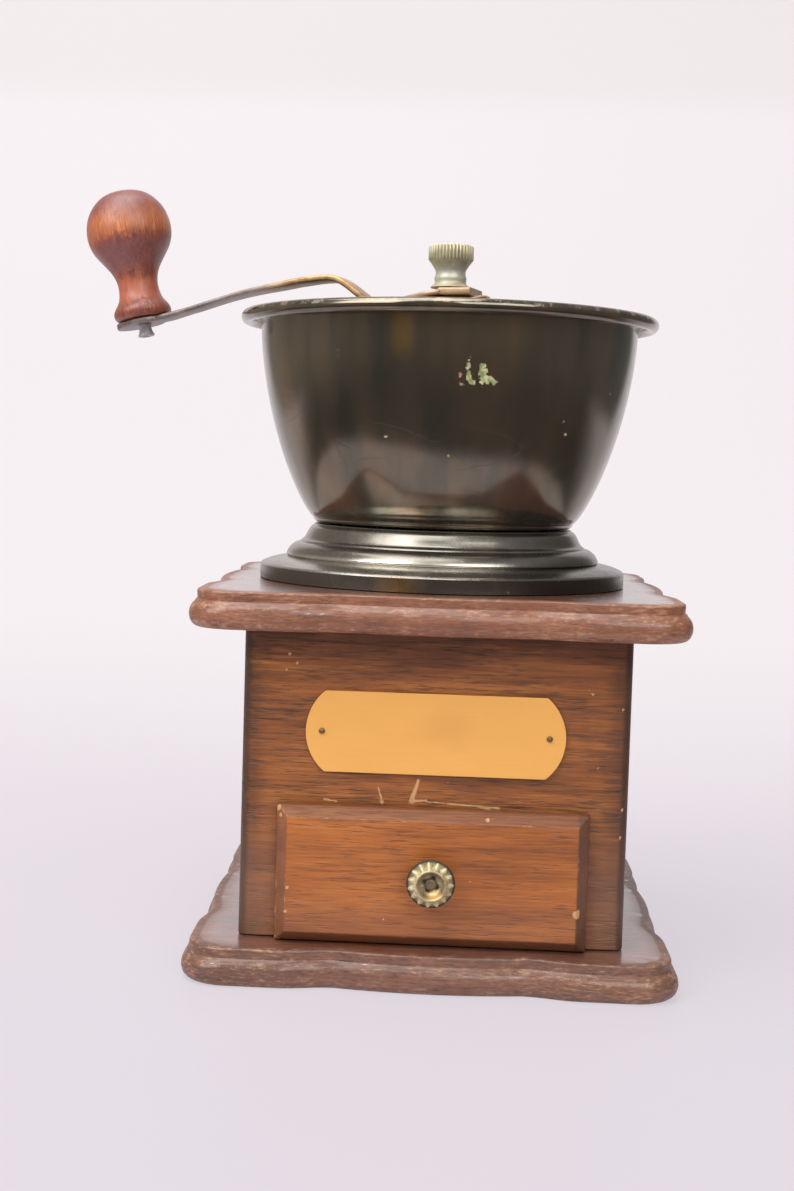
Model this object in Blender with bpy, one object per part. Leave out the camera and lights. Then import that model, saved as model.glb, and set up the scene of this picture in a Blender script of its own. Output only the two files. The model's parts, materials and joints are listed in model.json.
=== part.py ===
# A hand-cranked wooden coffee grinder with an open metal bowl, a conical burr set and a drawer.
# Run it with blender --background --python part.py, or from the text editor.
# Units are metres, +Z is up, the drawer faces -Y and the middle of the underside is the origin.

import math

import bmesh
import bpy
from mathutils import Matrix, Vector

# Clearances shared by all the pieces
GAP = 0.0003
RUNNING_GAP = 0.0003
MERGE = 0.000001
OVERRUN = 0.002
HOLE_TURN = math.radians(7)
SHARP_ANGLE = math.radians(32)

# Cabinet
BOX_HALF = 0.0592
BOX_HEIGHT = 0.0955
PANEL_THICK = 0.0090
BOX_EDGE_RADIUS = 0.0030
BOX_EDGE_STEPS = 3

# Scalloped boards
BOARD_OVERHANG = 0.0166
BOARD_THICK = 0.0115
SCALLOP_DEPTH = 0.0028
SCALLOP_CUSP_SHARE = 0.3826
SCALLOP_LOBE_SHARE = 0.6200
SCALLOP_BELLY_SHARE = 0.10
BOARD_CORNER = 0.0125
BOARD_EDGE_INSET = 0.0032
BOARD_EDGE_HEIGHT_SHARES = (0.0, 0.10, 0.30, 0.52, 0.70, 0.74, 0.93, 1.0)
BOARD_EDGE_INSET_SHARES = (1.0, 0.38, 0.02, 0.06, 0.42, 0.70, 0.66, 0.92)
BELLY_STEPS = 3
SWEEP_STEPS = 3
CORNER_STEPS = 3

# Drawer
DRAWER_SIDE_MARGIN = 0.0117
DRAWER_FRONT_HEIGHT = 0.0420
DRAWER_FRONT_THICK = 0.0065
DRAWER_EDGE_THICK = 0.0030
DRAWER_BEVEL_WIDTH = 0.0033
DRAWER_LIFT = 0.0004
GUIDE_SPACE = 0.0072
TRAY_HEIGHT = 0.0360
TRAY_BACK_SPACE = 0.0034
TRAY_WALL = 0.0060
TRAY_FLOOR = 0.0030
TRAY_FLOOR_LIFT = 0.0008
TRAY_SIDE_CLEARANCE = 0.0010
TRAY_TOP_CLEARANCE = 0.0010
GUIDE_HEIGHT = 0.0080
GUIDE_CLEARANCE = 0.0005
GUIDE_INSET = 0.0010

# Drawer knob, turned brass with a scalloped rosette
KNOB_HEIGHT_ON_FRONT = 0.0215
KNOB_RADIUS = 0.0073
KNOB_LENGTH = 0.0090
KNOB_TEETH = 14
KNOB_TOOTH_STEPS = 2
KNOB_TOOTH_DEPTH = 0.0011
KNOB_LENGTH_SHARES = (0.86, 0.98, 1.0, 0.86, 0.74, 0.56, 0.44, 0.30, 0.08, 0.0)
KNOB_RADIUS_SHARES = (0.40, 0.46, 0.62, 0.70, 0.97, 1.0, 0.62, 0.40, 0.46, 0.58)
KNOB_TOOTHED_SHARES = (0.0, 0.0, 0.0, 0.0, 1.0, 1.0, 0.0, 0.0, 0.0, 0.0)
KNOB_SCREW_RADIUS = 0.0015
KNOB_SCREW_DEPTH = 0.0050
KNOB_SCREW_HEAD = 0.0031
KNOB_SCREW_HEAD_HEIGHT = 0.0017

# Brass plate on the front
PLATE_SIDE_MARGIN = 0.0196
PLATE_BULGE = 0.0059
PLATE_HEIGHT = 0.0250
PLATE_THICK = 0.0008
PLATE_ABOVE_DRAWER = 0.0099
PLATE_ARC_STEPS = 8
PLATE_PIN_INSET = 0.0050
PLATE_PIN_RADIUS = 0.0008
PLATE_PIN_HEAD = 0.0014
PLATE_PIN_HEAD_HEIGHT = 0.0007
PLATE_PIN_LENGTH = 0.0065

# Spun foot under the bowl
TURNED_STEPS = 44
FOOT_RADIUS = 0.0610
FOOT_TOP_RADIUS = 0.0428
FOOT_HEIGHT = 0.0181
FOOT_OUTER_HEIGHT_SHARES = (1.0, 0.93, 0.80, 0.69, 0.66, 0.60, 0.51, 0.41, 0.38, 0.30, 0.25, 0.0)
FOOT_OUTER_RADIUS_SHARES = (0.0, 0.09, 0.16, 0.23, 0.31, 0.40, 0.47, 0.51, 0.56, 0.94, 1.0, 1.0)
FOOT_INNER_HEIGHT_SHARES = (0.0, 0.16, 0.27, 0.50, 0.60, 0.90)
FOOT_INNER_RADIUS_SHARES = (0.88, 0.84, 0.42, 0.30, 0.12, -0.10)

# Open bowl
BOWL_WALL = 0.0014
BOWL_FLOOR_THICK = 0.0016
BOWL_FLOOR_RADIUS = 0.0412
BOWL_LOW_RADIUS = 0.0436
BOWL_HIGH_RADIUS = 0.0626
BOWL_LOW_RISE = 0.0017
BOWL_WALL_HEIGHT = 0.0635
BOWL_CURVE_IN_SHARE = 1.7
BOWL_CURVE_OUT_SHARE = 0.8
BOWL_CURVE_STEPS = 9
BOWL_INNER_STEPS = 5
RIM_BEAD_OFFSET = 0.0046
RIM_BEAD_RISE = 0.0025
RIM_BEAD_RADIUS = 0.0022
RIM_BEAD_STEPS = 6
RIM_BEAD_START = math.radians(-160)
RIM_BEAD_END = math.radians(95)
RIM_INNER_ROUND = 0.0012

# Outer burr, a flanged cup through the bowl, the foot and the top board
BURR_FLANGE_RADIUS = 0.0315
BURR_FLANGE_THICK = 0.0025
BURR_BODY_RADIUS = 0.0217
BURR_BODY_CLEARANCE = 0.0008
BURR_BODY_DEPTH = 0.0395
BURR_THROAT_RADIUS = 0.0182
BURR_NECK_RADIUS = 0.0152
BURR_RING_TOP_RADIUS = 0.0143
BURR_RING_LOW_RADIUS = 0.0170
BURR_RING_HEIGHT = 0.0180
BURR_BREAK = 0.0004
BURR_COARSE_STEPS = 9
BURR_FINE_STEPS = 2
BURR_STEPS = 54
BURR_COARSE_DEPTH = 0.0013
BURR_FINE_DEPTH = 0.0005
BURR_TWIST_SHARE = 0.30
BURR_COARSE_LEVEL_SHARES = (1.0, 0.5, 0.0)
BURR_FINE_LEVEL_SHARES = (1.0, 0.5, 0.0)

# Inner burr
CONE_TOP_RADIUS = 0.0078
CONE_NECK_RADIUS = 0.0126
CONE_TOP_OVER_THROAT = 0.0037
CONE_LOW_OFFSET = 0.0026
CONE_RING_GAP = 0.0010
CONE_COARSE_DEPTH = 0.0022

# Spindle, all the way from the lower bearing to the cap nut
SHAFT_RADIUS = 0.0040
SHAFT_SQUARE = 0.0056
SHAFT_THREAD_RADIUS = 0.0028
SHAFT_STEPS = 16
SHAFT_COLLAR_RADIUS = 0.0075
SHAFT_COLLAR_HEIGHT = 0.0022
SHAFT_TAIL = 0.0040
SHAFT_THREAD_LENGTH = 0.0105

# Bridge over the burrs, inside the bowl
BRIDGE_THICK = 0.0026
BRIDGE_WIDTH = 0.0120
BRIDGE_HALF_SPAN = 0.0310
BRIDGE_RISE = 0.0598
BRIDGE_SPAN_SHARES = (1.0, 0.755, 0.70, 0.68, 0.64, 0.52, 0.28)
BRIDGE_RISE_SHARES = (0.0, 0.0, 0.035, 0.43, 0.76, 0.91, 1.0)
SLEEVE_RADIUS = 0.0070
SLEEVE_LENGTH = 0.0330
SLEEVE_ABOVE_BRIDGE = 0.0026
SLEEVE_STEPS = 24

# Lower bearing under the outer burr
BEARING_THICK = 0.0024
BEARING_WIDTH = 0.0095
BEARING_HALF_SPAN = 0.0212
BEARING_DROP = 0.0027
BEARING_SPAN_SHARES = (1.0, 0.70, 0.56)
BEARING_DROP_SHARES = (0.0, 0.0, 1.0)
BEARING_SCREW_SPREAD = 0.0194
BEARING_SCREW_RADIUS = 0.0011
BEARING_SCREW_HEAD = 0.0020
BEARING_SCREW_HEAD_HEIGHT = 0.0013
BEARING_SCREW_LENGTH = 0.0085

# Spring and its washer
SPRING_WIRE_RADIUS = 0.0007
SPRING_COIL_RADIUS = 0.0062
SPRING_TURNS = 8
SPRING_TURN_STEPS = 9
SPRING_SIDES = 5
SPRING_WASHER_RADIUS = 0.0078
SPRING_WASHER_THICK = 0.0010

# Adjusting nut with a notched rim, and the stopper plate that locks it to the spindle
ADJUSTER_RADIUS = 0.0145
ADJUSTER_THICK = 0.0038
ADJUSTER_NOTCHES = 16
ADJUSTER_NOTCH_DEPTH = 0.0019
ADJUSTER_NOTCH_START_SHARE = 0.22
ADJUSTER_NOTCH_END_SHARE = 0.78
STOPPER_ABOVE_ADJUSTER = 0.0014
STOPPER_THICK = 0.0010
STOPPER_WIDTH = 0.0105
STOPPER_TAIL = 0.0050
STOPPER_FINGER_WIDTH = 0.0020
STOPPER_FINGER_DROP = 0.0042
STOPPER_FINGER_INSET = 0.0005

# Crank
ARM_ANGLE = math.radians(163)
ARM_REACH = 0.1142
ARM_RISE = 0.0100
ARM_HUB_THICK = 0.0025
ARM_HUB_WIDTH = 0.0150
ARM_WIDTH = 0.0112
ARM_EYE_WIDTH = 0.0150
ARM_RUN_SHARES = (
    -0.0788, 0.0, 0.0175, 0.0482, 0.1068, 0.1576, 0.2014, 0.2469, 0.2793, 0.3117, 0.3433, 0.3722,
    0.4238, 0.5201, 0.6182, 0.7172, 0.8179, 0.9107, 0.9545, 1.0, 1.0455, 1.0736, 1.0893,
)
ARM_RISE_SHARES = (
    0.0, 0.0, 0.0, -0.07, -0.22, -0.35, -0.42, -0.275, -0.005, 0.257, 0.44, 0.485, 0.45, 0.28,
    0.093, -0.157, -0.498, -0.783, -0.889, -1.0, -1.11, -1.179, -1.217,
)
ARM_WIDTH_SHARES = (
    1.34, 1.34, 1.34, 1.0, 1.0, 1.0, 1.0, 1.0, 1.0, 1.0, 1.0, 1.0, 1.0, 1.0, 1.0, 1.0, 1.0, 1.0,
    1.22, 1.34, 1.12, 0.76, 0.36,
)
ARM_THICK_SHARES = (
    1.0, 1.0, 1.0, 0.76, 0.78, 0.8, 0.8, 0.8, 0.8, 0.8, 0.8, 0.8, 0.8, 0.79, 0.78, 0.77, 0.76, 0.76,
    0.76, 0.76, 0.76, 0.76, 0.76,
)
HANDLE_LEAN = math.radians(12)

# Cap nut
NUT_RADIUS = 0.0075
NUT_HEIGHT = 0.0145
NUT_TEETH = 20
NUT_TOOTH_STEPS = 2
NUT_TOOTH_DEPTH = 0.0005
NUT_HEIGHT_SHARES = (1.0, 0.985, 0.945, 0.62, 0.54, 0.42, 0.35, 0.29, 0.20, 0.06, 0.0)
NUT_RADIUS_SHARES = (0.40, 0.80, 1.0, 1.0, 0.88, 0.69, 0.67, 0.68, 0.71, 0.89, 0.89)
NUT_TOOTHED_SHARES = (0.0, 0.0, 1.0, 1.0, 0.0, 0.0, 0.0, 0.0, 0.0, 0.0, 0.0)

# Turned handle and its pin
HANDLE_RADIUS = 0.01505
HANDLE_LENGTH = 0.0462
HANDLE_STEPS = 28
HANDLE_HEIGHT_SHARES = (
    0.0, 0.04, 0.08, 0.125, 0.18, 0.26, 0.34, 0.41, 0.48, 0.55, 0.62, 0.69, 0.76, 0.83, 0.89, 0.94, 0.98, 1.0,
)
HANDLE_RADIUS_SHARES = (
    0.63, 0.69, 0.685, 0.60, 0.51, 0.475, 0.51, 0.61, 0.76, 0.90, 0.975, 1.0, 0.985, 0.93, 0.84, 0.70, 0.44, 0.0,
)
PIN_RADIUS = 0.0024
PIN_BORE_DEPTH = 0.0340
PIN_END_GAP = 0.0010
PIN_TAIL_LENGTH = 0.0038
PIN_TAIL_RADIUS = 0.0030
PIN_STEPS = 14

# Wood screws
SCREW_STEPS = 12
MILL_SCREW_SPREAD = 0.0272
MILL_SCREW_RADIUS = 0.0016
MILL_SCREW_HEAD = 0.0032
MILL_SCREW_HEAD_HEIGHT = 0.0018
MILL_SCREW_BITE = 0.0075
BASE_SCREW_SPREAD_SHARE = 0.59
BASE_SCREW_RADIUS = 0.0016
BASE_SCREW_HEAD = 0.0033
BASE_SCREW_HEAD_HEIGHT = 0.0024
BASE_SCREW_RECESS = 0.0004
BASE_SCREW_LENGTH = 0.0270
SCREW_CROWN_SHARE = 0.72
SCREW_SLOT_WIDTH = 0.0008
SCREW_SLOT_DEPTH = 0.0008

# Widths that follow from the sizes above
BOARD_HALF = BOX_HALF + BOARD_OVERHANG
SCALLOP_CUSP = BOARD_HALF * SCALLOP_CUSP_SHARE
SCALLOP_LOBE = BOARD_HALF * SCALLOP_LOBE_SHARE
SIDE_INNER = BOX_HALF - PANEL_THICK
DRAWER_FRONT_WIDTH = 2 * (BOX_HALF - DRAWER_SIDE_MARGIN)
TRAY_HALF = SIDE_INNER - GUIDE_SPACE
TRAY_DEPTH = BOX_HALF + SIDE_INNER - TRAY_BACK_SPACE
OPENING_HALF = TRAY_HALF + TRAY_SIDE_CLEARANCE
PLATE_WIDTH = 2 * (BOX_HALF - PLATE_SIDE_MARGIN)
PLATE_PIN_SPREAD = PLATE_WIDTH / 2 - PLATE_PIN_INSET
BASE_SCREW_SPREAD = BOX_HALF * BASE_SCREW_SPREAD_SHARE

# Heights that follow from the sizes above
BASE_TOP = BOARD_THICK
BOX_LOW = BASE_TOP + GAP
BOX_TOP = BOX_LOW + BOX_HEIGHT
TOP_BOARD_LOW = BOX_TOP + GAP
TOP_BOARD_TOP = TOP_BOARD_LOW + BOARD_THICK
FOOT_LOW = TOP_BOARD_TOP + GAP
FOOT_TOP = FOOT_LOW + FOOT_HEIGHT
BOWL_LOW = FOOT_TOP + GAP
BOWL_FLOOR = BOWL_LOW + BOWL_FLOOR_THICK
BOWL_WALL_LOW = BOWL_LOW + BOWL_LOW_RISE
BOWL_WALL_TOP = BOWL_WALL_LOW + BOWL_WALL_HEIGHT
BURR_FLANGE_LOW = BOWL_FLOOR + GAP
BURR_TOP = BURR_FLANGE_LOW + BURR_FLANGE_THICK
BURR_LOW = BURR_FLANGE_LOW - BURR_BODY_DEPTH
BURR_RING_TOP = BURR_LOW + BURR_RING_HEIGHT
BURR_HOLE_RADIUS = BURR_BODY_RADIUS + BURR_BODY_CLEARANCE
BORE_RADIUS = SHAFT_RADIUS + RUNNING_GAP
CONE_LOW = BURR_LOW + CONE_LOW_OFFSET
CONE_TOP = BURR_TOP - CONE_TOP_OVER_THROAT
BRIDGE_LOW = BURR_TOP + GAP
BRIDGE_TOP = BRIDGE_LOW + BRIDGE_RISE + BRIDGE_THICK
SLEEVE_TOP = BRIDGE_TOP + SLEEVE_ABOVE_BRIDGE
SLEEVE_LOW = SLEEVE_TOP - SLEEVE_LENGTH
ADJUSTER_LOW = SLEEVE_TOP + GAP
ADJUSTER_TOP = ADJUSTER_LOW + ADJUSTER_THICK
STOPPER_LOW = ADJUSTER_TOP + STOPPER_ABOVE_ADJUSTER
STOPPER_TOP = STOPPER_LOW + STOPPER_THICK
HUB_LOW = STOPPER_TOP + GAP
HUB_TOP = HUB_LOW + ARM_HUB_THICK
NUT_LOW = HUB_TOP + GAP
BEARING_TOP = BURR_LOW - GAP
WASHER_LOW = CONE_TOP + GAP
SPRING_LOW = WASHER_LOW + SPRING_WASHER_THICK + GAP
SPRING_TOP = SLEEVE_LOW - GAP
FRONT_FACE = -BOX_HALF
DRAWER_BACK_FACE = FRONT_FACE - GAP
DRAWER_LOW = BASE_TOP + DRAWER_LIFT
TRAY_FRONT = DRAWER_BACK_FACE + GAP
OPENING_TOP = DRAWER_LOW + TRAY_HEIGHT + TRAY_TOP_CLEARANCE
PLATE_CENTRE_HEIGHT = DRAWER_LOW + DRAWER_FRONT_HEIGHT + PLATE_ABOVE_DRAWER + PLATE_HEIGHT / 2

# Colour, roughness and metallic value of each finish
FINISHES = {
    "board_wood": ((0.150, 0.062, 0.040), 0.42, 0.0),
    "box_wood": ((0.235, 0.098, 0.040), 0.48, 0.0),
    "drawer_wood": ((0.390, 0.160, 0.050), 0.45, 0.0),
    "pale_wood": ((0.480, 0.330, 0.190), 0.70, 0.0),
    "handle_wood": ((0.260, 0.052, 0.020), 0.22, 0.0),
    "black_enamel": ((0.030, 0.026, 0.018), 0.24, 0.35),
    "plate_brass": ((0.800, 0.460, 0.150), 0.45, 0.85),
    "aged_brass": ((0.440, 0.350, 0.190), 0.40, 0.90),
    "aged_steel": ((0.250, 0.180, 0.120), 0.45, 0.90),
    "grey_iron": ((0.160, 0.160, 0.155), 0.55, 0.80),
    "bright_steel": ((0.560, 0.560, 0.540), 0.35, 1.0),
}


def clear_scene():
    for thing in list(bpy.data.objects):
        bpy.data.objects.remove(thing, do_unlink=True)


def finish(name, kind):
    colour, roughness, metallic = FINISHES[kind]
    material = bpy.data.materials.new(name)
    material.use_nodes = True
    shader = material.node_tree.nodes["Principled BSDF"]
    shader.inputs["Base Color"].default_value = (*colour, 1.0)
    shader.inputs["Roughness"].default_value = roughness
    shader.inputs["Metallic"].default_value = metallic
    return material


def add_object(name, bm, kind=None, parent=None, smooth=False):
    bmesh.ops.recalc_face_normals(bm, faces=bm.faces)
    mesh = bpy.data.meshes.new(name)
    bm.to_mesh(mesh)
    bm.free()
    if smooth:
        mesh.shade_smooth()
        mesh.set_sharp_from_angle(angle=SHARP_ANGLE)
    thing = bpy.data.objects.new(name, mesh)
    bpy.context.scene.collection.objects.link(thing)
    thing.parent = parent
    if kind is not None:
        mesh.materials.append(finish(name, kind))
    return thing


def add_empty(name, location, rotation, parent=None):
    empty = bpy.data.objects.new(name, None)
    bpy.context.scene.collection.objects.link(empty)
    empty.location = location
    empty.rotation_euler = rotation
    empty.parent = parent
    return empty


def box_mesh(low, high):
    bm = bmesh.new()
    middle = (Vector(low) + Vector(high)) / 2
    size = Vector(high) - Vector(low)
    bmesh.ops.create_cube(bm, size=1.0, matrix=Matrix.Translation(middle) @ Matrix.Diagonal((*size, 1.0)))
    return bm


def spun_mesh(profile, steps, closed):
    # Profile points are (radius, height); a closed profile makes a ring, an open one ends on the axis.
    bm = bmesh.new()
    points = [bm.verts.new((radius, 0.0, height)) for radius, height in profile]
    pairs = list(zip(points, points[1:]))
    if closed:
        pairs.append((points[-1], points[0]))
    edges = [bm.edges.new(pair) for pair in pairs]
    bmesh.ops.spin(
        bm, geom=points + edges, cent=(0, 0, 0), axis=(0, 0, 1), dvec=(0, 0, 0),
        angle=math.tau, steps=steps, use_merge=True, use_duplicate=False,
    )
    bmesh.ops.remove_doubles(bm, verts=bm.verts, dist=MERGE)
    return bm


def skinned_mesh(rings, wrap=False):
    # Rings of equally many points are joined in order; the ends are capped unless the skin wraps round.
    bm = bmesh.new()
    loops = [[bm.verts.new(point) for point in ring] for ring in rings]
    count = len(loops[0])
    pairs = list(zip(loops, loops[1:]))
    if wrap:
        pairs.append((loops[-1], loops[0]))
    for here, there in pairs:
        for index in range(count):
            after = (index + 1) % count
            bm.faces.new((here[index], here[after], there[after], there[index]))
    if not wrap:
        bm.faces.new(loops[0])
        bm.faces.new(loops[-1])
    return bm


def ribbed_ring(radius, height, depth, steps, steps_per_rib, twist):
    # One ring of a turned shape whose ribs stand out by depth, turned by twist steps.
    ring = []
    for index in range(steps):
        angle = math.tau * index / steps
        wave = (1 + math.cos(math.tau * (index + twist) / steps_per_rib)) / 2
        reach = radius - depth * (1 - wave)
        ring.append((reach * math.cos(angle), reach * math.sin(angle), height))
    return ring


def plain_ring(radius, height, steps):
    return ribbed_ring(radius, height, 0.0, steps, 1, 0.0)


def prism_mesh(outline, direction):
    bm = bmesh.new()
    face = bm.faces.new([bm.verts.new(point) for point in outline])
    pulled = bmesh.ops.extrude_face_region(bm, geom=[face])
    tops = [item for item in pulled["geom"] if isinstance(item, bmesh.types.BMVert)]
    bmesh.ops.translate(bm, verts=tops, vec=direction)
    return bm


def strap_mesh(path, widths, thicknesses):
    # A flat strap along a path of (run, height) points, which lie on its upper face.
    rings = []
    for index, (run, height) in enumerate(path):
        before = Vector(path[max(index - 1, 0)])
        after = Vector(path[min(index + 1, len(path) - 1)])
        along = (after - before).normalized()
        down = Vector((along.y, -along.x)) * thicknesses[index]
        half = widths[index] / 2
        rings.append([
            (run, -half, height),
            (run, half, height),
            (run + down.x, half, height + down.y),
            (run + down.x, -half, height + down.y),
        ])
    return skinned_mesh(rings)


def as_cutter(thing):
    thing.hide_render = True
    thing.display_type = "WIRE"
    return thing


def change(target, tool, operation):
    modifier = target.modifiers.new(tool.name, "BOOLEAN")
    modifier.operation = operation
    modifier.solver = "EXACT"
    modifier.object = as_cutter(tool)


def round_tool(name, radius, low, high, steps=SCREW_STEPS, parent=None, place=(0, 0), lengthwise=False):
    # A cylinder from low to high along Z, or along Y when it is lengthwise.
    bm = spun_mesh([(0, high), (radius, high), (radius, low), (0, low)], steps, False)
    bmesh.ops.rotate(bm, verts=bm.verts, cent=(0, 0, 0), matrix=Matrix.Rotation(HOLE_TURN, 3, "Z"))
    if lengthwise:
        bmesh.ops.rotate(bm, verts=bm.verts, cent=(0, 0, 0), matrix=Matrix.Rotation(-math.pi / 2, 3, "X"))
        bmesh.ops.translate(bm, verts=bm.verts, vec=(place[0], 0, place[1]))
    else:
        bmesh.ops.translate(bm, verts=bm.verts, vec=(place[0], place[1], 0))
    return add_object(name, bm, parent=parent)


def cut_round(target, name, radius, low, high, **options):
    change(target, round_tool(name, radius, low, high, **options), "DIFFERENCE")


def add_screw(name, kind, head_radius, head_height, shank_radius, length, place, turn=None, countersunk=False):
    # The head's underside is at place; the shank runs down from it, and turn tips the whole screw.
    tip = shank_radius
    profile = [(0, head_height), (head_radius * SCREW_CROWN_SHARE, head_height), (head_radius, 0)]
    if countersunk:
        profile = [(0, head_height), (head_radius, head_height)]
    profile += [(shank_radius, 0), (shank_radius, tip - length), (0, -length)]
    bm = spun_mesh(profile, SCREW_STEPS, False)
    slot = box_mesh(
        (-head_radius - OVERRUN, -SCREW_SLOT_WIDTH / 2, head_height - SCREW_SLOT_DEPTH),
        (head_radius + OVERRUN, SCREW_SLOT_WIDTH / 2, head_height + OVERRUN),
    )
    holder = add_empty(name + "_place", place, turn or (0, 0, 0))
    screw = add_object(name, bm, kind, holder, smooth=True)
    change(screw, add_object(name + "_slot", slot, parent=holder), "DIFFERENCE")
    return screw



def scallop_inset(distance):
    # How far the board's edge lies inside its widest line, at a distance from the middle of the side.
    if distance <= SCALLOP_CUSP:
        return SCALLOP_DEPTH * (SCALLOP_BELLY_SHARE + (1 - SCALLOP_BELLY_SHARE) * (distance / SCALLOP_CUSP) ** 2)
    if distance <= SCALLOP_LOBE:
        sweep = (distance - SCALLOP_CUSP) / (SCALLOP_LOBE - SCALLOP_CUSP)
        return SCALLOP_DEPTH * (1 + math.cos(math.pi * sweep)) / 2
    return 0.0


def board_outline():
    half_side = [SCALLOP_CUSP * step / BELLY_STEPS for step in range(BELLY_STEPS + 1)]
    half_side += [
        SCALLOP_CUSP + (SCALLOP_LOBE - SCALLOP_CUSP) * step / SWEEP_STEPS for step in range(1, SWEEP_STEPS + 1)
    ]
    side = [-place for place in reversed(half_side[1:])] + half_side
    quarter = [Vector((place, -BOARD_HALF + scallop_inset(abs(place)))) for place in side]
    centre = BOARD_HALF - BOARD_CORNER
    for step in range(CORNER_STEPS + 1):
        angle = -math.pi / 2 + (math.pi / 2) * step / CORNER_STEPS
        quarter.append(Vector((centre + BOARD_CORNER * math.cos(angle), -centre + BOARD_CORNER * math.sin(angle))))
    outline = []
    for turns in range(4):
        turn = Matrix.Rotation(turns * math.pi / 2, 2)
        outline += [turn @ point for point in quarter]
    return outline


def board_mesh(low):
    outline = board_outline()
    rings = []
    for height_share, inset_share in zip(BOARD_EDGE_HEIGHT_SHARES, BOARD_EDGE_INSET_SHARES):
        scale = (BOARD_HALF - BOARD_EDGE_INSET * inset_share) / BOARD_HALF
        height = low + BOARD_THICK * height_share
        rings.append([(point.x * scale, point.y * scale, height) for point in outline])
    return skinned_mesh(rings)


def base_board():
    board = add_object("base_board", board_mesh(0.0), "board_wood")
    hole = BASE_SCREW_RADIUS + GAP
    head = BASE_SCREW_HEAD + GAP
    for number, (x, y) in enumerate(base_screw_places(), start=1):
        profile = [
            (0, BASE_TOP + OVERRUN),
            (hole, BASE_TOP + OVERRUN),
            (hole, BASE_SCREW_RECESS + BASE_SCREW_HEAD_HEIGHT),
            (head, BASE_SCREW_RECESS),
            (head, -OVERRUN),
            (0, -OVERRUN),
        ]
        bm = spun_mesh(profile, SCREW_STEPS, False)
        bmesh.ops.translate(bm, verts=bm.verts, vec=(x, y, 0))
        change(board, add_object(f"base_hole_{number}", bm), "DIFFERENCE")


def base_screw_places():
    middle = BOX_HALF - PANEL_THICK / 2
    return [(side * middle, end * BASE_SCREW_SPREAD) for side in (-1, 1) for end in (-1, 1)]


def base_screws():
    for number, (x, y) in enumerate(base_screw_places(), start=1):
        add_screw(
            f"base_screw_{number}", "bright_steel", BASE_SCREW_HEAD, BASE_SCREW_HEAD_HEIGHT, BASE_SCREW_RADIUS,
            BASE_SCREW_LENGTH, (x, y, BASE_SCREW_RECESS + BASE_SCREW_HEAD_HEIGHT), (math.pi, 0, 0), True,
        )


def top_board():
    board = add_object("top_board", board_mesh(TOP_BOARD_LOW), "board_wood")
    cut_round(
        board, "burr_hole", BURR_HOLE_RADIUS, TOP_BOARD_LOW - OVERRUN, TOP_BOARD_TOP + OVERRUN, steps=SLEEVE_STEPS,
    )
    low = TOP_BOARD_TOP - MILL_SCREW_BITE - MILL_SCREW_RADIUS
    for number, place in enumerate(mill_screw_places(), start=1):
        cut_round(
            board, f"top_hole_{number}", MILL_SCREW_RADIUS + GAP, low, TOP_BOARD_TOP + OVERRUN, place=place,
        )


def rounded_panel(name, outline, y_face, thick, outward):
    # A panel whose two outer upright edges are rounded; outward is -1 for the front and +1 for the back.
    bm = prism_mesh([(x, y_face, z) for x, z in outline], (0, -outward * thick, 0))
    bm.edges.ensure_lookup_table()
    upright = []
    for edge in bm.edges:
        first, second = edge.verts
        on_face = abs(first.co.y - y_face) < MERGE and abs(second.co.y - y_face) < MERGE
        on_side = abs(abs(first.co.x) - BOX_HALF) < MERGE and abs(abs(second.co.x) - BOX_HALF) < MERGE
        if on_face and on_side and abs(first.co.x - second.co.x) < MERGE:
            upright.append(edge)
    bmesh.ops.bevel(
        bm, geom=upright, offset=BOX_EDGE_RADIUS, offset_type="OFFSET", segments=BOX_EDGE_STEPS,
        profile=0.5, affect="EDGES", clamp_overlap=True,
    )
    return add_object(name, bm, "box_wood")


def front_panel():
    outline = [
        (-BOX_HALF, BOX_LOW), (-BOX_HALF, BOX_TOP), (BOX_HALF, BOX_TOP), (BOX_HALF, BOX_LOW),
        (OPENING_HALF, BOX_LOW), (OPENING_HALF, OPENING_TOP), (-OPENING_HALF, OPENING_TOP), (-OPENING_HALF, BOX_LOW),
    ]
    panel = rounded_panel("front_panel", outline, FRONT_FACE, PANEL_THICK, -1)
    for name, x in (("left", -PLATE_PIN_SPREAD), ("right", PLATE_PIN_SPREAD)):
        cut_round(
            panel, f"pin_hole_{name}", PLATE_PIN_RADIUS + GAP, FRONT_FACE - OVERRUN,
            FRONT_FACE + PLATE_PIN_LENGTH, place=(x, PLATE_CENTRE_HEIGHT), lengthwise=True,
        )


def back_panel():
    outline = [(-BOX_HALF, BOX_LOW), (-BOX_HALF, BOX_TOP), (BOX_HALF, BOX_TOP), (BOX_HALF, BOX_LOW)]
    rounded_panel("back_panel", outline, BOX_HALF, PANEL_THICK, 1)


def side_panels():
    end = SIDE_INNER - GAP
    for name, side in (("left_panel", -1), ("right_panel", 1)):
        low_x, high_x = sorted((side * SIDE_INNER, side * BOX_HALF))
        panel = add_object(name, box_mesh((low_x, -end, BOX_LOW), (high_x, end, BOX_TOP)), "box_wood")
        depth = BASE_SCREW_RECESS + BASE_SCREW_HEAD_HEIGHT + BASE_SCREW_LENGTH + GAP
        for number, (x, y) in enumerate(base_screw_places(), start=1):
            if x * side > 0:
                cut_round(
                    panel, f"side_hole_{number}", BASE_SCREW_RADIUS + GAP, BOX_LOW - OVERRUN, depth, place=(x, y),
                )


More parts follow.
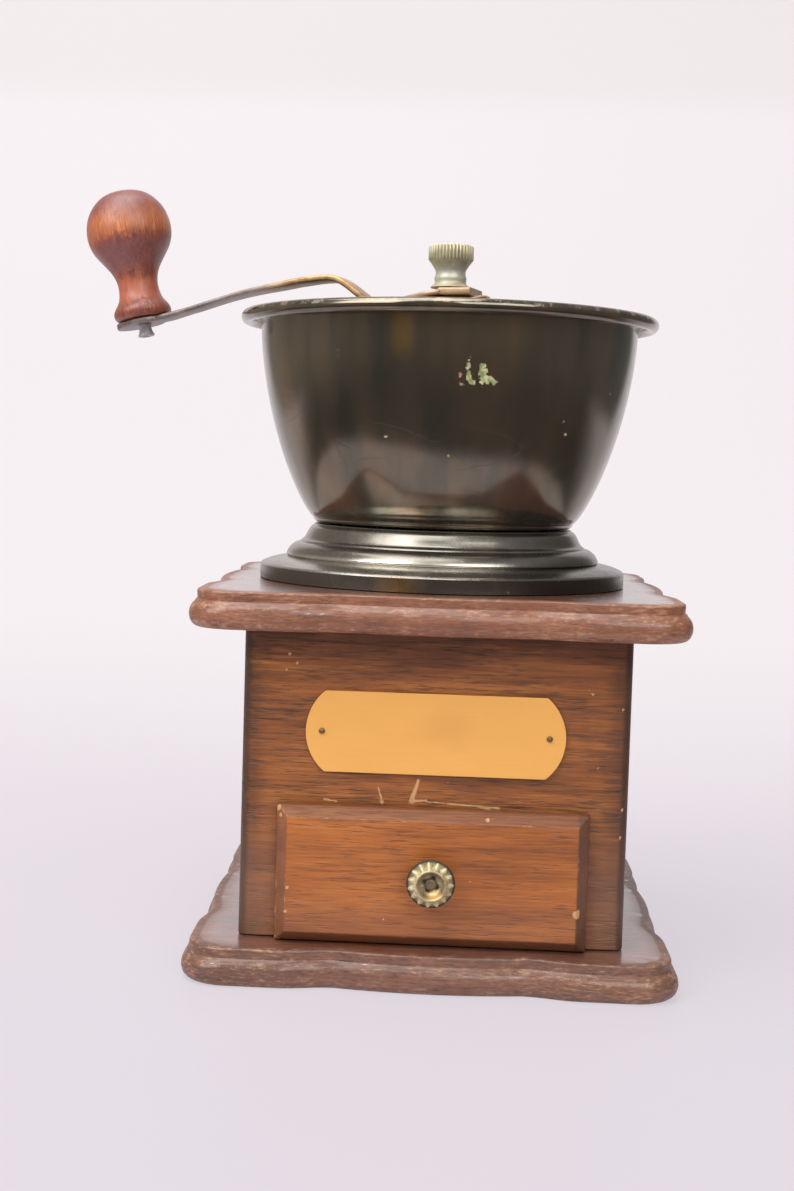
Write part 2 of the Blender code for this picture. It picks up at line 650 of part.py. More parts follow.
def drawer_guides():
    inner = TRAY_HALF + GUIDE_CLEARANCE
    outer = SIDE_INNER - GAP
    end = SIDE_INNER - GUIDE_INSET
    for name, side in (("drawer_guide_left", -1), ("drawer_guide_right", 1)):
        low_x, high_x = sorted((side * inner, side * outer))
        front = FRONT_FACE + PANEL_THICK + GAP
        add_object(name, box_mesh((low_x, front, BOX_LOW), (high_x, end, BOX_LOW + GUIDE_HEIGHT)), "pale_wood")


def name_plate():
    half = PLATE_WIDTH / 2 - PLATE_BULGE
    rise = PLATE_HEIGHT / 2
    radius = (rise ** 2 + PLATE_BULGE ** 2) / (2 * PLATE_BULGE)
    sweep = math.asin(rise / radius)
    outline = []
    for side in (1, -1):
        for step in range(PLATE_ARC_STEPS + 1):
            angle = -sweep + 2 * sweep * step / PLATE_ARC_STEPS
            x = side * (half + PLATE_BULGE - radius + radius * math.cos(angle))
            z = PLATE_CENTRE_HEIGHT + side * radius * math.sin(angle)
            outline.append((x, FRONT_FACE - GAP, z))
    plate = add_object("name_plate", prism_mesh(outline, (0, -PLATE_THICK, 0)), "plate_brass")
    for name, x in (("left", -PLATE_PIN_SPREAD), ("right", PLATE_PIN_SPREAD)):
        cut_round(
            plate, f"plate_hole_{name}", PLATE_PIN_RADIUS + GAP, FRONT_FACE - PLATE_THICK - OVERRUN,
            FRONT_FACE + OVERRUN, place=(x, PLATE_CENTRE_HEIGHT), lengthwise=True,
        )


def plate_pins():
    seat = FRONT_FACE - GAP - PLATE_THICK - GAP
    length = PLATE_PIN_LENGTH + FRONT_FACE - seat - GAP
    profile = [
        (0, PLATE_PIN_HEAD_HEIGHT), (PLATE_PIN_HEAD / 2, PLATE_PIN_HEAD_HEIGHT), (PLATE_PIN_HEAD, 0),
        (PLATE_PIN_RADIUS, 0), (PLATE_PIN_RADIUS, -length), (0, -length),
    ]
    for name, x in (("plate_pin_left", -PLATE_PIN_SPREAD), ("plate_pin_right", PLATE_PIN_SPREAD)):
        holder = add_empty(name + "_place", (x, seat, PLATE_CENTRE_HEIGHT), (math.pi / 2, 0, 0))
        add_object(name, spun_mesh(profile, SCREW_STEPS, False), "aged_brass", holder, smooth=True)


def bowl_curve(share):
    grown = (1 - (1 - share) ** BOWL_CURVE_IN_SHARE) ** BOWL_CURVE_OUT_SHARE
    return BOWL_LOW_RADIUS + (BOWL_HIGH_RADIUS - BOWL_LOW_RADIUS) * grown


def bowl():
    bead_radius = BOWL_HIGH_RADIUS + RIM_BEAD_OFFSET
    bead_height = BOWL_WALL_TOP + RIM_BEAD_RISE
    rim_top = bead_height + RIM_BEAD_RADIUS
    outer = [(BURR_HOLE_RADIUS, BOWL_LOW), (BOWL_FLOOR_RADIUS, BOWL_LOW)]
    for step in range(BOWL_CURVE_STEPS + 1):
        share = (step / BOWL_CURVE_STEPS) ** 2
        outer.append((bowl_curve(share), BOWL_WALL_LOW + BOWL_WALL_HEIGHT * share))
    for step in range(RIM_BEAD_STEPS + 1):
        angle = RIM_BEAD_START + (RIM_BEAD_END - RIM_BEAD_START) * step / RIM_BEAD_STEPS
        outer.append((
            bead_radius + RIM_BEAD_RADIUS * math.cos(angle),
            bead_height + RIM_BEAD_RADIUS * math.sin(angle),
        ))
    inner_top = BOWL_HIGH_RADIUS - BOWL_WALL
    inner = [(inner_top + RIM_INNER_ROUND, rim_top - MERGE), (inner_top, rim_top - RIM_INNER_ROUND)]
    for step in range(BOWL_INNER_STEPS, 0, -1):
        share = (step / BOWL_INNER_STEPS) ** 2
        inner.append((bowl_curve(share) - BOWL_WALL, BOWL_WALL_LOW + BOWL_WALL_HEIGHT * share))
    inner.append((BOWL_FLOOR_RADIUS, BOWL_FLOOR))
    inner.append((BURR_HOLE_RADIUS, BOWL_FLOOR))
    vessel = add_object("bowl", spun_mesh(outer + inner, TURNED_STEPS, True), "black_enamel", smooth=True)
    for number, place in enumerate(mill_screw_places(), start=1):
        cut_round(
            vessel, f"bowl_hole_{number}", MILL_SCREW_RADIUS + GAP, BOWL_LOW - OVERRUN, BOWL_FLOOR + OVERRUN,
            place=place,
        )


def foot_points(height_shares, radius_shares):
    return [
        (FOOT_TOP_RADIUS + (FOOT_RADIUS - FOOT_TOP_RADIUS) * wide, FOOT_LOW + FOOT_HEIGHT * high)
        for high, wide in zip(height_shares, radius_shares)
    ]


def bowl_foot():
    outer = foot_points(FOOT_OUTER_HEIGHT_SHARES, FOOT_OUTER_RADIUS_SHARES)
    inner = foot_points(FOOT_INNER_HEIGHT_SHARES, FOOT_INNER_RADIUS_SHARES)
    throat = [(BURR_HOLE_RADIUS, inner[-1][1]), (BURR_HOLE_RADIUS, FOOT_TOP)]
    foot = add_object(
        "bowl_foot", spun_mesh(outer + inner + throat, TURNED_STEPS, True), "black_enamel", smooth=True,
    )
    for number, place in enumerate(mill_screw_places(), start=1):
        cut_round(
            foot, f"foot_hole_{number}", MILL_SCREW_RADIUS + GAP, inner[-1][1] - OVERRUN, FOOT_TOP + OVERRUN,
            place=place,
        )


def mill_screw_places():
    return [(MILL_SCREW_SPREAD * math.cos(quarter * math.pi / 2), MILL_SCREW_SPREAD * math.sin(quarter * math.pi / 2))
            for quarter in range(4)]


def mill_screws():
    tip = TOP_BOARD_TOP - MILL_SCREW_BITE
    for number, (x, y) in enumerate(mill_screw_places(), start=1):
        on_bridge = number % 2 == 1
        seat = BRIDGE_LOW + BRIDGE_THICK + GAP if on_bridge else BURR_TOP + GAP
        add_screw(
            f"mill_screw_{number}", "bright_steel", MILL_SCREW_HEAD, MILL_SCREW_HEAD_HEIGHT, MILL_SCREW_RADIUS,
            seat - tip, (x, y, seat),
        )


def outer_burr():
    steps = BURR_STEPS
    rings = [
        plain_ring(BURR_FLANGE_RADIUS, BURR_TOP, steps),
        plain_ring(BURR_FLANGE_RADIUS, BURR_FLANGE_LOW, steps),
        plain_ring(BURR_BODY_RADIUS, BURR_FLANGE_LOW, steps),
        plain_ring(BURR_BODY_RADIUS, BURR_LOW, steps),
    ]
    fine = [share for share in reversed(BURR_FINE_LEVEL_SHARES)]
    for share in fine:
        radius = BURR_RING_LOW_RADIUS + (BURR_RING_TOP_RADIUS - BURR_RING_LOW_RADIUS) * share
        height = BURR_LOW + BURR_RING_HEIGHT * share
        twist = -BURR_TWIST_SHARE * share * BURR_COARSE_STEPS
        rings.append(ribbed_ring(radius, height, -BURR_FINE_DEPTH, steps, BURR_FINE_STEPS, twist))
    coarse_low = BURR_RING_TOP + BURR_BREAK
    for share in reversed(BURR_COARSE_LEVEL_SHARES):
        radius = BURR_NECK_RADIUS + (BURR_THROAT_RADIUS - BURR_NECK_RADIUS) * share
        height = coarse_low + (BURR_TOP - coarse_low) * share
        twist = -BURR_TWIST_SHARE * share * BURR_COARSE_STEPS
        rings.append(ribbed_ring(radius, height, BURR_COARSE_DEPTH, steps, BURR_COARSE_STEPS, twist))
    burr = add_object("outer_burr", skinned_mesh(rings, wrap=True), "grey_iron")
    for number, place in enumerate(mill_screw_places(), start=1):
        cut_round(
            burr, f"burr_hole_{number}", MILL_SCREW_RADIUS + GAP, BURR_FLANGE_LOW - OVERRUN, BURR_TOP + OVERRUN,
            place=place,
        )
    for name, x in (("left", -BEARING_SCREW_SPREAD), ("right", BEARING_SCREW_SPREAD)):
        top = BEARING_TOP - BEARING_THICK - GAP + BEARING_SCREW_LENGTH + GAP
        cut_round(
            burr, f"bearing_hole_{name}", BEARING_SCREW_RADIUS + GAP, BURR_LOW - OVERRUN, top, place=(x, 0),
        )


def inner_burr(spindle):
    steps = BURR_STEPS
    neck = BURR_RING_TOP - BURR_BREAK
    rings = [plain_ring(BORE_RADIUS, CONE_TOP, steps)]
    for share in BURR_COARSE_LEVEL_SHARES:
        radius = CONE_NECK_RADIUS + (CONE_TOP_RADIUS - CONE_NECK_RADIUS) * share
        height = BURR_RING_TOP + (CONE_TOP - BURR_RING_TOP) * share
        twist = BURR_TWIST_SHARE * share * BURR_COARSE_STEPS
        rings.append(ribbed_ring(radius, height, CONE_COARSE_DEPTH, steps, BURR_COARSE_STEPS, twist))
    for share in BURR_FINE_LEVEL_SHARES:
        height = CONE_LOW + (neck - CONE_LOW) * share
        along = (height - BURR_LOW) / BURR_RING_HEIGHT
        ring_radius = BURR_RING_LOW_RADIUS + (BURR_RING_TOP_RADIUS - BURR_RING_LOW_RADIUS) * along
        twist = BURR_TWIST_SHARE * share * BURR_COARSE_STEPS
        rings.append(
            ribbed_ring(ring_radius - CONE_RING_GAP, height, BURR_FINE_DEPTH, steps, BURR_FINE_STEPS, twist)
        )
    rings.append(plain_ring(BORE_RADIUS, CONE_LOW, steps))
    add_object("inner_burr", skinned_mesh(rings, wrap=True), "grey_iron", spindle)


def shaft_ring(radius, height):
    return plain_ring(radius, height, SHAFT_STEPS)


def square_ring(side, height):
    ring = []
    for index in range(SHAFT_STEPS):
        angle = math.tau * index / SHAFT_STEPS
        reach = side / 2 / max(abs(math.cos(angle)), abs(math.sin(angle)))
        ring.append((reach * math.cos(angle), reach * math.sin(angle), height))
    return ring


def shaft(spindle):
    collar_top = CONE_LOW - GAP
    collar_low = collar_top - SHAFT_COLLAR_HEIGHT
    bottom = BEARING_TOP - BEARING_DROP - BEARING_THICK - SHAFT_TAIL
    square_low = ADJUSTER_TOP + GAP
    square_top = HUB_TOP - GAP
    thread_top = NUT_LOW + SHAFT_THREAD_LENGTH
    rings = [
        shaft_ring(SHAFT_RADIUS, bottom),
        shaft_ring(SHAFT_RADIUS, collar_low),
        shaft_ring(SHAFT_COLLAR_RADIUS, collar_low),
        shaft_ring(SHAFT_COLLAR_RADIUS, collar_top),
        shaft_ring(SHAFT_RADIUS, collar_top),
        shaft_ring(SHAFT_RADIUS, square_low),
        square_ring(SHAFT_SQUARE, square_low),
        square_ring(SHAFT_SQUARE, square_top),
        shaft_ring(SHAFT_THREAD_RADIUS, square_top),
        shaft_ring(SHAFT_THREAD_RADIUS, thread_top),
    ]
    add_object("shaft", skinned_mesh(rings), "aged_steel", spindle)


def mirrored_path(half_span, rise, base, span_shares, rise_shares):
    left = [(-half_span * wide, base + rise * high) for wide, high in zip(span_shares, rise_shares)]
    right = [(-run, height) for run, height in reversed(left)]
    return left + right


def bridge():
    path = mirrored_path(
        BRIDGE_HALF_SPAN, BRIDGE_RISE, BRIDGE_LOW + BRIDGE_THICK, BRIDGE_SPAN_SHARES, BRIDGE_RISE_SHARES,
    )
    count = len(path)
    bm = strap_mesh(path, [BRIDGE_WIDTH] * count, [BRIDGE_THICK] * count)
    yoke = add_object("bridge", bm, "grey_iron")
    sleeve = round_tool("bridge_sleeve", SLEEVE_RADIUS, SLEEVE_LOW, SLEEVE_TOP, steps=SLEEVE_STEPS)
    change(yoke, sleeve, "UNION")
    cut_round(yoke, "bridge_bore", BORE_RADIUS, SLEEVE_LOW - OVERRUN, SLEEVE_TOP + OVERRUN, steps=SHAFT_STEPS)
    for name, x in (("left", -MILL_SCREW_SPREAD), ("right", MILL_SCREW_SPREAD)):
        cut_round(
            yoke, f"bridge_hole_{name}", MILL_SCREW_RADIUS + GAP, BRIDGE_LOW - OVERRUN,
            BRIDGE_LOW + BRIDGE_THICK + OVERRUN, place=(x, 0),
        )


def lower_bearing():
    path = mirrored_path(BEARING_HALF_SPAN, -BEARING_DROP, BEARING_TOP, BEARING_SPAN_SHARES, BEARING_DROP_SHARES)
    count = len(path)
    bm = strap_mesh(path, [BEARING_WIDTH] * count, [BEARING_THICK] * count)
    bar = add_object("lower_bearing", bm, "grey_iron")
    low = BEARING_TOP - BEARING_DROP - BEARING_THICK - OVERRUN
    cut_round(bar, "bearing_bore", BORE_RADIUS, low, BEARING_TOP + OVERRUN, steps=SHAFT_STEPS)
    for name, x in (("left", -BEARING_SCREW_SPREAD), ("right", BEARING_SCREW_SPREAD)):
        cut_round(
            bar, f"bar_hole_{name}", BEARING_SCREW_RADIUS + GAP, low, BEARING_TOP + OVERRUN, place=(x, 0),
        )


def bearing_screws():
    seat = BEARING_TOP - BEARING_THICK - GAP
    for name, x in (("bearing_screw_left", -BEARING_SCREW_SPREAD), ("bearing_screw_right", BEARING_SCREW_SPREAD)):
        add_screw(
            name, "bright_steel", BEARING_SCREW_HEAD, BEARING_SCREW_HEAD_HEIGHT, BEARING_SCREW_RADIUS,
            BEARING_SCREW_LENGTH, (x, 0, seat), (math.pi, 0, 0),
        )


def spring_washer(spindle):
    top = WASHER_LOW + SPRING_WASHER_THICK
    profile = [
        (BORE_RADIUS, top), (SPRING_WASHER_RADIUS, top), (SPRING_WASHER_RADIUS, WASHER_LOW), (BORE_RADIUS, WASHER_LOW),
    ]
    add_object("spring_washer", spun_mesh(profile, SLEEVE_STEPS, True), "bright_steel", spindle, smooth=True)


def spring_points():
    low = SPRING_LOW + SPRING_WIRE_RADIUS
    high = SPRING_TOP - SPRING_WIRE_RADIUS
    count = SPRING_TURNS * SPRING_TURN_STEPS
    points = []
    for index in range(count + 1):
        angle = math.tau * index / SPRING_TURN_STEPS
        height = low + (high - low) * index / count
        points.append(Vector((SPRING_COIL_RADIUS * math.cos(angle), SPRING_COIL_RADIUS * math.sin(angle), height)))
    return points


def report_least_gap(points):
    near = SPRING_TURN_STEPS // 2
    least = min(
        (points[first] - points[second]).length
        for first in range(len(points))
        for second in range(first + near, len(points))
    )
    print("least gap between the spring's turns, in metres:", round(least - 2 * SPRING_WIRE_RADIUS, 6))


def spring(spindle):
    points = spring_points()
    report_least_gap(points)
    rings = []
    for point in points:
        outward = Vector((point.x, point.y, 0)).normalized()
        ring = []
        for side in range(SPRING_SIDES):
            angle = math.tau * side / SPRING_SIDES
            ring.append(point + SPRING_WIRE_RADIUS * (outward * math.cos(angle) + Vector((0, 0, math.sin(angle)))))
        rings.append(ring)
    add_object("spring", skinned_mesh(rings), "bright_steel", spindle, smooth=True)


def notched_ring(height):
    ring = []
    notch_floor = ADJUSTER_RADIUS - ADJUSTER_NOTCH_DEPTH
    pitch = math.tau / ADJUSTER_NOTCHES
    for number in range(ADJUSTER_NOTCHES):
        start = ARM_ANGLE + math.pi + (number - 0.5) * pitch
        marks = (
            (ADJUSTER_NOTCH_START_SHARE, ADJUSTER_RADIUS), (ADJUSTER_NOTCH_START_SHARE, notch_floor),
            (ADJUSTER_NOTCH_END_SHARE, notch_floor), (ADJUSTER_NOTCH_END_SHARE, ADJUSTER_RADIUS),
        )
        for share, radius in marks:
            angle = start + pitch * share
            ring.append((radius * math.cos(angle), radius * math.sin(angle), height))
    return ring


def adjusting_nut():
    steps = len(notched_ring(ADJUSTER_TOP))
    shift = ARM_ANGLE + math.pi
    bore = []
    for height in (ADJUSTER_LOW, ADJUSTER_TOP):
        bore.append([
            (
                BORE_RADIUS * math.cos(shift + math.tau * (index - 1.5) / steps),
                BORE_RADIUS * math.sin(shift + math.tau * (index - 1.5) / steps),
                height,
            )
            for index in range(steps)
        ])
    rings = [notched_ring(ADJUSTER_TOP), notched_ring(ADJUSTER_LOW), bore[0], bore[1]]
    add_object("adjusting_nut", skinned_mesh(rings, wrap=True), "aged_brass")


def cut_square(target, name, side, low, high, parent):
    half = side / 2
    tool = add_object(name, box_mesh((-half, -half, low), (half, half, high)), parent=parent)
    change(target, tool, "DIFFERENCE")


def stopper_plate(spindle):
    finger = ADJUSTER_RADIUS - STOPPER_FINGER_INSET
    path = [
        (STOPPER_TAIL, STOPPER_TOP),
        (-STOPPER_TAIL, STOPPER_TOP),
        (-finger + STOPPER_THICK, STOPPER_TOP),
        (-finger, STOPPER_TOP - STOPPER_THICK),
        (-finger, STOPPER_TOP - STOPPER_FINGER_DROP),
    ]
    path.reverse()
    widths = [STOPPER_FINGER_WIDTH] * 3 + [STOPPER_WIDTH] * 2
    plate = add_object("stopper_plate", strap_mesh(path, widths, [STOPPER_THICK] * len(path)), "aged_steel", spindle)
    hole = SHAFT_SQUARE + 2 * GAP
    cut_square(plate, "stopper_hole", hole, STOPPER_LOW - OVERRUN, STOPPER_TOP + OVERRUN, spindle)


def arm_path():
    return [(ARM_REACH * run, HUB_TOP + ARM_RISE * rise) for run, rise in zip(ARM_RUN_SHARES, ARM_RISE_SHARES)]


def crank_arm(spindle, handle_axis):
    widths = [ARM_WIDTH * share for share in ARM_WIDTH_SHARES]
    thicknesses = [ARM_HUB_THICK * share for share in ARM_THICK_SHARES]
    arm = add_object("crank_arm", strap_mesh(arm_path(), widths, thicknesses), "aged_steel", spindle)
    cut_square(arm, "arm_hole", SHAFT_SQUARE + 2 * GAP, HUB_LOW - OVERRUN, HUB_TOP + OVERRUN, spindle)
    cut_round(
        arm, "eye_hole", PIN_RADIUS + GAP, -ARM_HUB_THICK - OVERRUN, OVERRUN, steps=PIN_STEPS, parent=handle_axis,
    )


def cap_nut(spindle):
    steps = NUT_TEETH * NUT_TOOTH_STEPS
    bore = SHAFT_THREAD_RADIUS + GAP
    bore_top = NUT_LOW + SHAFT_THREAD_LENGTH + GAP
    rings = []
    for high, wide, toothed in zip(NUT_HEIGHT_SHARES, NUT_RADIUS_SHARES, NUT_TOOTHED_SHARES):
        rings.append(ribbed_ring(
            NUT_RADIUS * wide, NUT_LOW + NUT_HEIGHT * high, NUT_TOOTH_DEPTH * toothed, steps, NUT_TOOTH_STEPS, 0.0,
        ))
    rings.append(plain_ring(bore, NUT_LOW, steps))
    rings.append(plain_ring(bore, bore_top, steps))
    add_object("cap_nut", skinned_mesh(rings), "aged_brass", spindle)


def handle_pin(handle_axis):
    arm_under = -ARM_HUB_THICK * ARM_THICK_SHARES[-1] - GAP
    top = PIN_BORE_DEPTH - PIN_END_GAP
    profile = [
        (0, top), (PIN_RADIUS, top), (PIN_RADIUS, arm_under), (PIN_TAIL_RADIUS, arm_under),
        (PIN_TAIL_RADIUS, arm_under - PIN_TAIL_LENGTH), (0, arm_under - PIN_TAIL_LENGTH),
    ]
    add_object("handle_pin", spun_mesh(profile, PIN_STEPS, False), "aged_steel", handle_axis, smooth=True)


def handle(handle_axis):
    bore = PIN_RADIUS + RUNNING_GAP
    profile = [(0, PIN_BORE_DEPTH + GAP), (bore, PIN_BORE_DEPTH + GAP), (bore, GAP)]
    for high, wide in zip(HANDLE_HEIGHT_SHARES, HANDLE_RADIUS_SHARES):
        profile.append((HANDLE_RADIUS * wide, GAP + HANDLE_LENGTH * high))
    add_object("handle", spun_mesh(profile, HANDLE_STEPS, False), "handle_wood", handle_axis, smooth=True)


def drawer_front():
    half = DRAWER_FRONT_WIDTH / 2
    edge_face = DRAWER_BACK_FACE - DRAWER_EDGE_THICK
    field_face = DRAWER_BACK_FACE - DRAWER_FRONT_THICK
    rings = []
    for y, inset in ((DRAWER_BACK_FACE, 0.0), (edge_face, 0.0), (field_face, DRAWER_BEVEL_WIDTH)):
        left, right = -half + inset, half - inset
        low, high = DRAWER_LOW + inset, DRAWER_LOW + DRAWER_FRONT_HEIGHT - inset
        rings.append([(left, y, low), (right, y, low), (right, y, high), (left, y, high)])
    front = add_object("drawer_front", skinned_mesh(rings), "drawer_wood")
    cut_round(
        front, "knob_hole", KNOB_SCREW_RADIUS + GAP, field_face - OVERRUN, DRAWER_BACK_FACE + OVERRUN,
        place=(0, DRAWER_LOW + KNOB_HEIGHT_ON_FRONT), lengthwise=True,
    )


def drawer_tray():
    low = DRAWER_LOW
    high = low + TRAY_HEIGHT
    back = TRAY_FRONT + TRAY_DEPTH
    inner = TRAY_HALF - TRAY_WALL
    for name, side in (("drawer_left_side", -1), ("drawer_right_side", 1)):
        low_x, high_x = sorted((side * inner, side * TRAY_HALF))
        add_object(name, box_mesh((low_x, TRAY_FRONT, low), (high_x, back, high)), "pale_wood")
    fit = inner - GAP
    add_object("drawer_back", box_mesh((-fit, back - TRAY_WALL, low), (fit, back, high)), "pale_wood")
    floor_low = low + TRAY_FLOOR_LIFT
    floor_back = back - TRAY_WALL - GAP
    add_object(
        "drawer_bottom", box_mesh((-fit, TRAY_FRONT, floor_low), (fit, floor_back, floor_low + TRAY_FLOOR)),
        "pale_wood",
    )


def drawer_knob():
    steps = KNOB_TEETH * KNOB_TOOTH_STEPS
    bore = KNOB_SCREW_RADIUS + GAP
    rings = []
    for high, wide, toothed in zip(KNOB_LENGTH_SHARES, KNOB_RADIUS_SHARES, KNOB_TOOTHED_SHARES):
        rings.append(ribbed_ring(
            KNOB_RADIUS * wide, KNOB_LENGTH * high, KNOB_TOOTH_DEPTH * toothed, steps, KNOB_TOOTH_STEPS, 0.0,
        ))
    rings.append(plain_ring(bore, 0.0, steps))
    rings.append(plain_ring(bore, KNOB_SCREW_DEPTH, steps))
    seat = DRAWER_BACK_FACE - DRAWER_FRONT_THICK - GAP
    holder = add_empty("knob_place", (0, seat, DRAWER_LOW + KNOB_HEIGHT_ON_FRONT), (math.pi / 2, 0, 0))
    add_object("drawer_knob", skinned_mesh(rings), "aged_brass", holder)


def knob_screw():
    seat = DRAWER_BACK_FACE + GAP
    length = DRAWER_FRONT_THICK + GAP + GAP + KNOB_SCREW_DEPTH - GAP
    add_screw(
        "drawer_knob_screw", "bright_steel", KNOB_SCREW_HEAD, KNOB_SCREW_HEAD_HEIGHT, KNOB_SCREW_RADIUS, length,
        (0, seat, DRAWER_LOW + KNOB_HEIGHT_ON_FRONT), (-math.pi / 2, 0, 0),
    )


def cabinet():
    base_board()
    base_screws()
    top_board()
    front_panel()
    back_panel()
    side_panels()
    drawer_guides()
    name_plate()
    plate_pins()


def drawer():
    drawer_front()
    drawer_tray()
    drawer_knob()
    knob_screw()


def mill():
    bowl_foot()
    bowl()
    outer_burr()
    lower_bearing()
    bearing_screws()
    bridge()
    mill_screws()
    adjusting_nut()


def crank():
    spindle = add_empty("spindle_axis", (0, 0, 0), (0, 0, ARM_ANGLE))
    pivot = (ARM_REACH, 0, HUB_TOP + ARM_RISE * ARM_RISE_SHARES[ARM_RUN_SHARES.index(1.0)])
    handle_axis = add_empty("handle_axis", pivot, (0, HANDLE_LEAN, 0), spindle)
    shaft(spindle)
    inner_burr(spindle)
    spring_washer(spindle)
    spring(spindle)
    stopper_plate(spindle)
    crank_arm(spindle, handle_axis)
    cap_nut(spindle)
    handle_pin(handle_axis)
    handle(handle_axis)


def main():
    clear_scene()
    cabinet()
    drawer()
    mill()
    crank()


main()
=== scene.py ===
import json
import math

import bmesh
import bpy
from mathutils import Matrix, Vector


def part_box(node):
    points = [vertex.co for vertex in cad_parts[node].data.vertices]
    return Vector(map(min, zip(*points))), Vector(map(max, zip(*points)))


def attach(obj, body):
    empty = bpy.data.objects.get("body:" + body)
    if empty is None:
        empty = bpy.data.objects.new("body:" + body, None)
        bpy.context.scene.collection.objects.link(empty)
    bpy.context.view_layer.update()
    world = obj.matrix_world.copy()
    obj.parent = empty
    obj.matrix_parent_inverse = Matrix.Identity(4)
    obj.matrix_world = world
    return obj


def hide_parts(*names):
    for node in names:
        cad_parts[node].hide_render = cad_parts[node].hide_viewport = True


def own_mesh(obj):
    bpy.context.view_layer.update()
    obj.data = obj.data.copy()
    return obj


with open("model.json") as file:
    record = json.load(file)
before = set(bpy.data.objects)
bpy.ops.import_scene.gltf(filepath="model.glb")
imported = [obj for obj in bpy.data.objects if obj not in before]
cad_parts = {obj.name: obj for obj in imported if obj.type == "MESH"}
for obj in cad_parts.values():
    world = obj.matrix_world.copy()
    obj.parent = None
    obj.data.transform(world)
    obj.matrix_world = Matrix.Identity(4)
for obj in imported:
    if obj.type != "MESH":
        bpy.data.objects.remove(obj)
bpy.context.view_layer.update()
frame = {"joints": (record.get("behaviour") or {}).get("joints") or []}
mm = 0.001
fullTurn = math.tau
joints = {joint["name"]: joint for joint in frame["joints"]}
handlePivot = Vector(joints["handle_spin"]["pos_m"])
handleAxis = Vector(joints["handle_spin"]["axis"])
crankAngle = math.atan2(handlePivot.y, handlePivot.x)
crankTurn = Matrix.Rotation(crankAngle, 4, "Z")
faceOut = Matrix.Rotation(math.pi / 2, 4, "X")  # turns what was made upright so that it looks out of the front
spindleBore = 4.3 * mm


# small helpers for meshes


def polar(reach, angle, height):
    return (reach * math.cos(angle), reach * math.sin(angle), height)


def scaled(profile):  # millimetres to metres
    return [(radius * mm, height * mm) for radius, height in profile]


def limited(share):
    return min(1.0, max(0.0, share))


def smoothLine(points, steps):  # a Catmull-Rom line through the points
    ends = [points[0]] + list(points) + [points[-1]]
    line = []
    for index in range(len(points) - 1):
        a, b, c, d = (Vector(point) for point in ends[index:index + 4])
        for step in range(steps):
            t = step / steps
            curve = 2 * b + (c - a) * t + (2 * a - 5 * b + 4 * c - d) * t * t + (3 * b - a - 3 * c + d) * t ** 3
            line.append(tuple(0.5 * curve))
    line.append(tuple(Vector(points[-1])))
    return line


def arcLine(centre, across, up, start, end, steps):  # an elliptical arc; angles in degrees
    line = []
    for step in range(steps + 1):
        angle = math.radians(start + (end - start) * step / steps)
        line.append((centre[0] + across * math.cos(angle), centre[1] + up * math.sin(angle)))
    return line


def skin(rings, closed=False):  # faces between rings of points; without closed, both ends get a face
    bm = bmesh.new()
    loops = [[bm.verts.new(point) for point in ring] for ring in rings]
    pairs = list(zip(loops, loops[1:])) + ([(loops[-1], loops[0])] if closed else [])
    for here, there in pairs:
        for index in range(len(here)):
            after = (index + 1) % len(here)
            bm.faces.new((here[index], here[after], there[after], there[index]))
    if not closed:
        bm.faces.new(loops[0])
        bm.faces.new(loops[-1])
    return bm


def turned(profile, steps, closed=False):  # profile points are (radius, height)
    bm = bmesh.new()
    rings = []
    for radius, height in profile:
        turns = [fullTurn * i / steps for i in range(steps)] if radius > 1e-6 else [0]
        rings.append([bm.verts.new(polar(radius, turn, height)) for turn in turns])
    pairs = list(zip(rings, rings[1:])) + ([(rings[-1], rings[0])] if closed else [])
    for here, there in pairs:
        for i in range(steps):
            j = (i + 1) % steps
            corners = [here[i % len(here)], here[j % len(here)], there[j % len(there)], there[i % len(there)]]
            bm.faces.new(list(dict.fromkeys(corners)))
    return bm


def rod(radius, low, high, steps=32):
    return turned([(0, low), (radius, low), (radius, high), (0, high)], steps)


def extruded(outline, depth):
    bm = bmesh.new()
    face = bm.faces.new([bm.verts.new(point) for point in outline])
    pulled = bmesh.ops.extrude_face_region(bm, geom=[face])
    moved = [item for item in pulled["geom"] if isinstance(item, bmesh.types.BMVert)]
    bmesh.ops.translate(bm, verts=moved, vec=(0, depth, 0))
    return bm


def block(low, high):
    bm = bmesh.new()
    low, high = Vector(low), Vector(high)
    matrix = Matrix.Translation((low + high) / 2) @ Matrix.Diagonal((*(high - low), 1.0))
    bmesh.ops.create_cube(bm, size=1.0, matrix=matrix)
    return bm


def linked(name, data):
    made = bpy.data.objects.new(name, data)
    bpy.context.scene.collection.objects.link(made)
    return made


def meshObject(name, bm, solid=True):
    if solid:
        bmesh.ops.recalc_face_normals(bm, faces=bm.faces)
    mesh = bpy.data.meshes.new(name)
    bm.to_mesh(mesh)
    bm.free()
    return linked(name, mesh)


def addPiece(name, bm, material, body, node, matrix=None, sharp=32, edge=None):
    piece = meshObject(name, bm)
    mesh = piece.data
    mesh.shade_smooth()
    mesh.set_sharp_from_angle(angle=math.radians(sharp))
    mesh.materials.append(material)
    if edge:
        marks = mesh.attributes.new("edgeWear", "FLOAT", "POINT")
        for vertex, mark in zip(mesh.vertices, marks.data):
            mark.value = edge(vertex.co)
    if matrix is not None:
        piece.matrix_world = matrix
    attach(piece, body)
    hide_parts(node)
    return piece


def soften(piece, width, segments=2, angle=30):  # width in millimetres
    bevel = piece.modifiers.new("softEdges", "BEVEL")
    bevel.width = width * mm
    bevel.segments = segments
    bevel.limit_method = "ANGLE"
    bevel.angle_limit = math.radians(angle)
    bevel.harden_normals = True


def plank(node, suffix, material, body, rounding):  # a piece that is its node's box
    soften(addPiece(node + suffix, block(*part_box(node)), material, body, node), rounding)


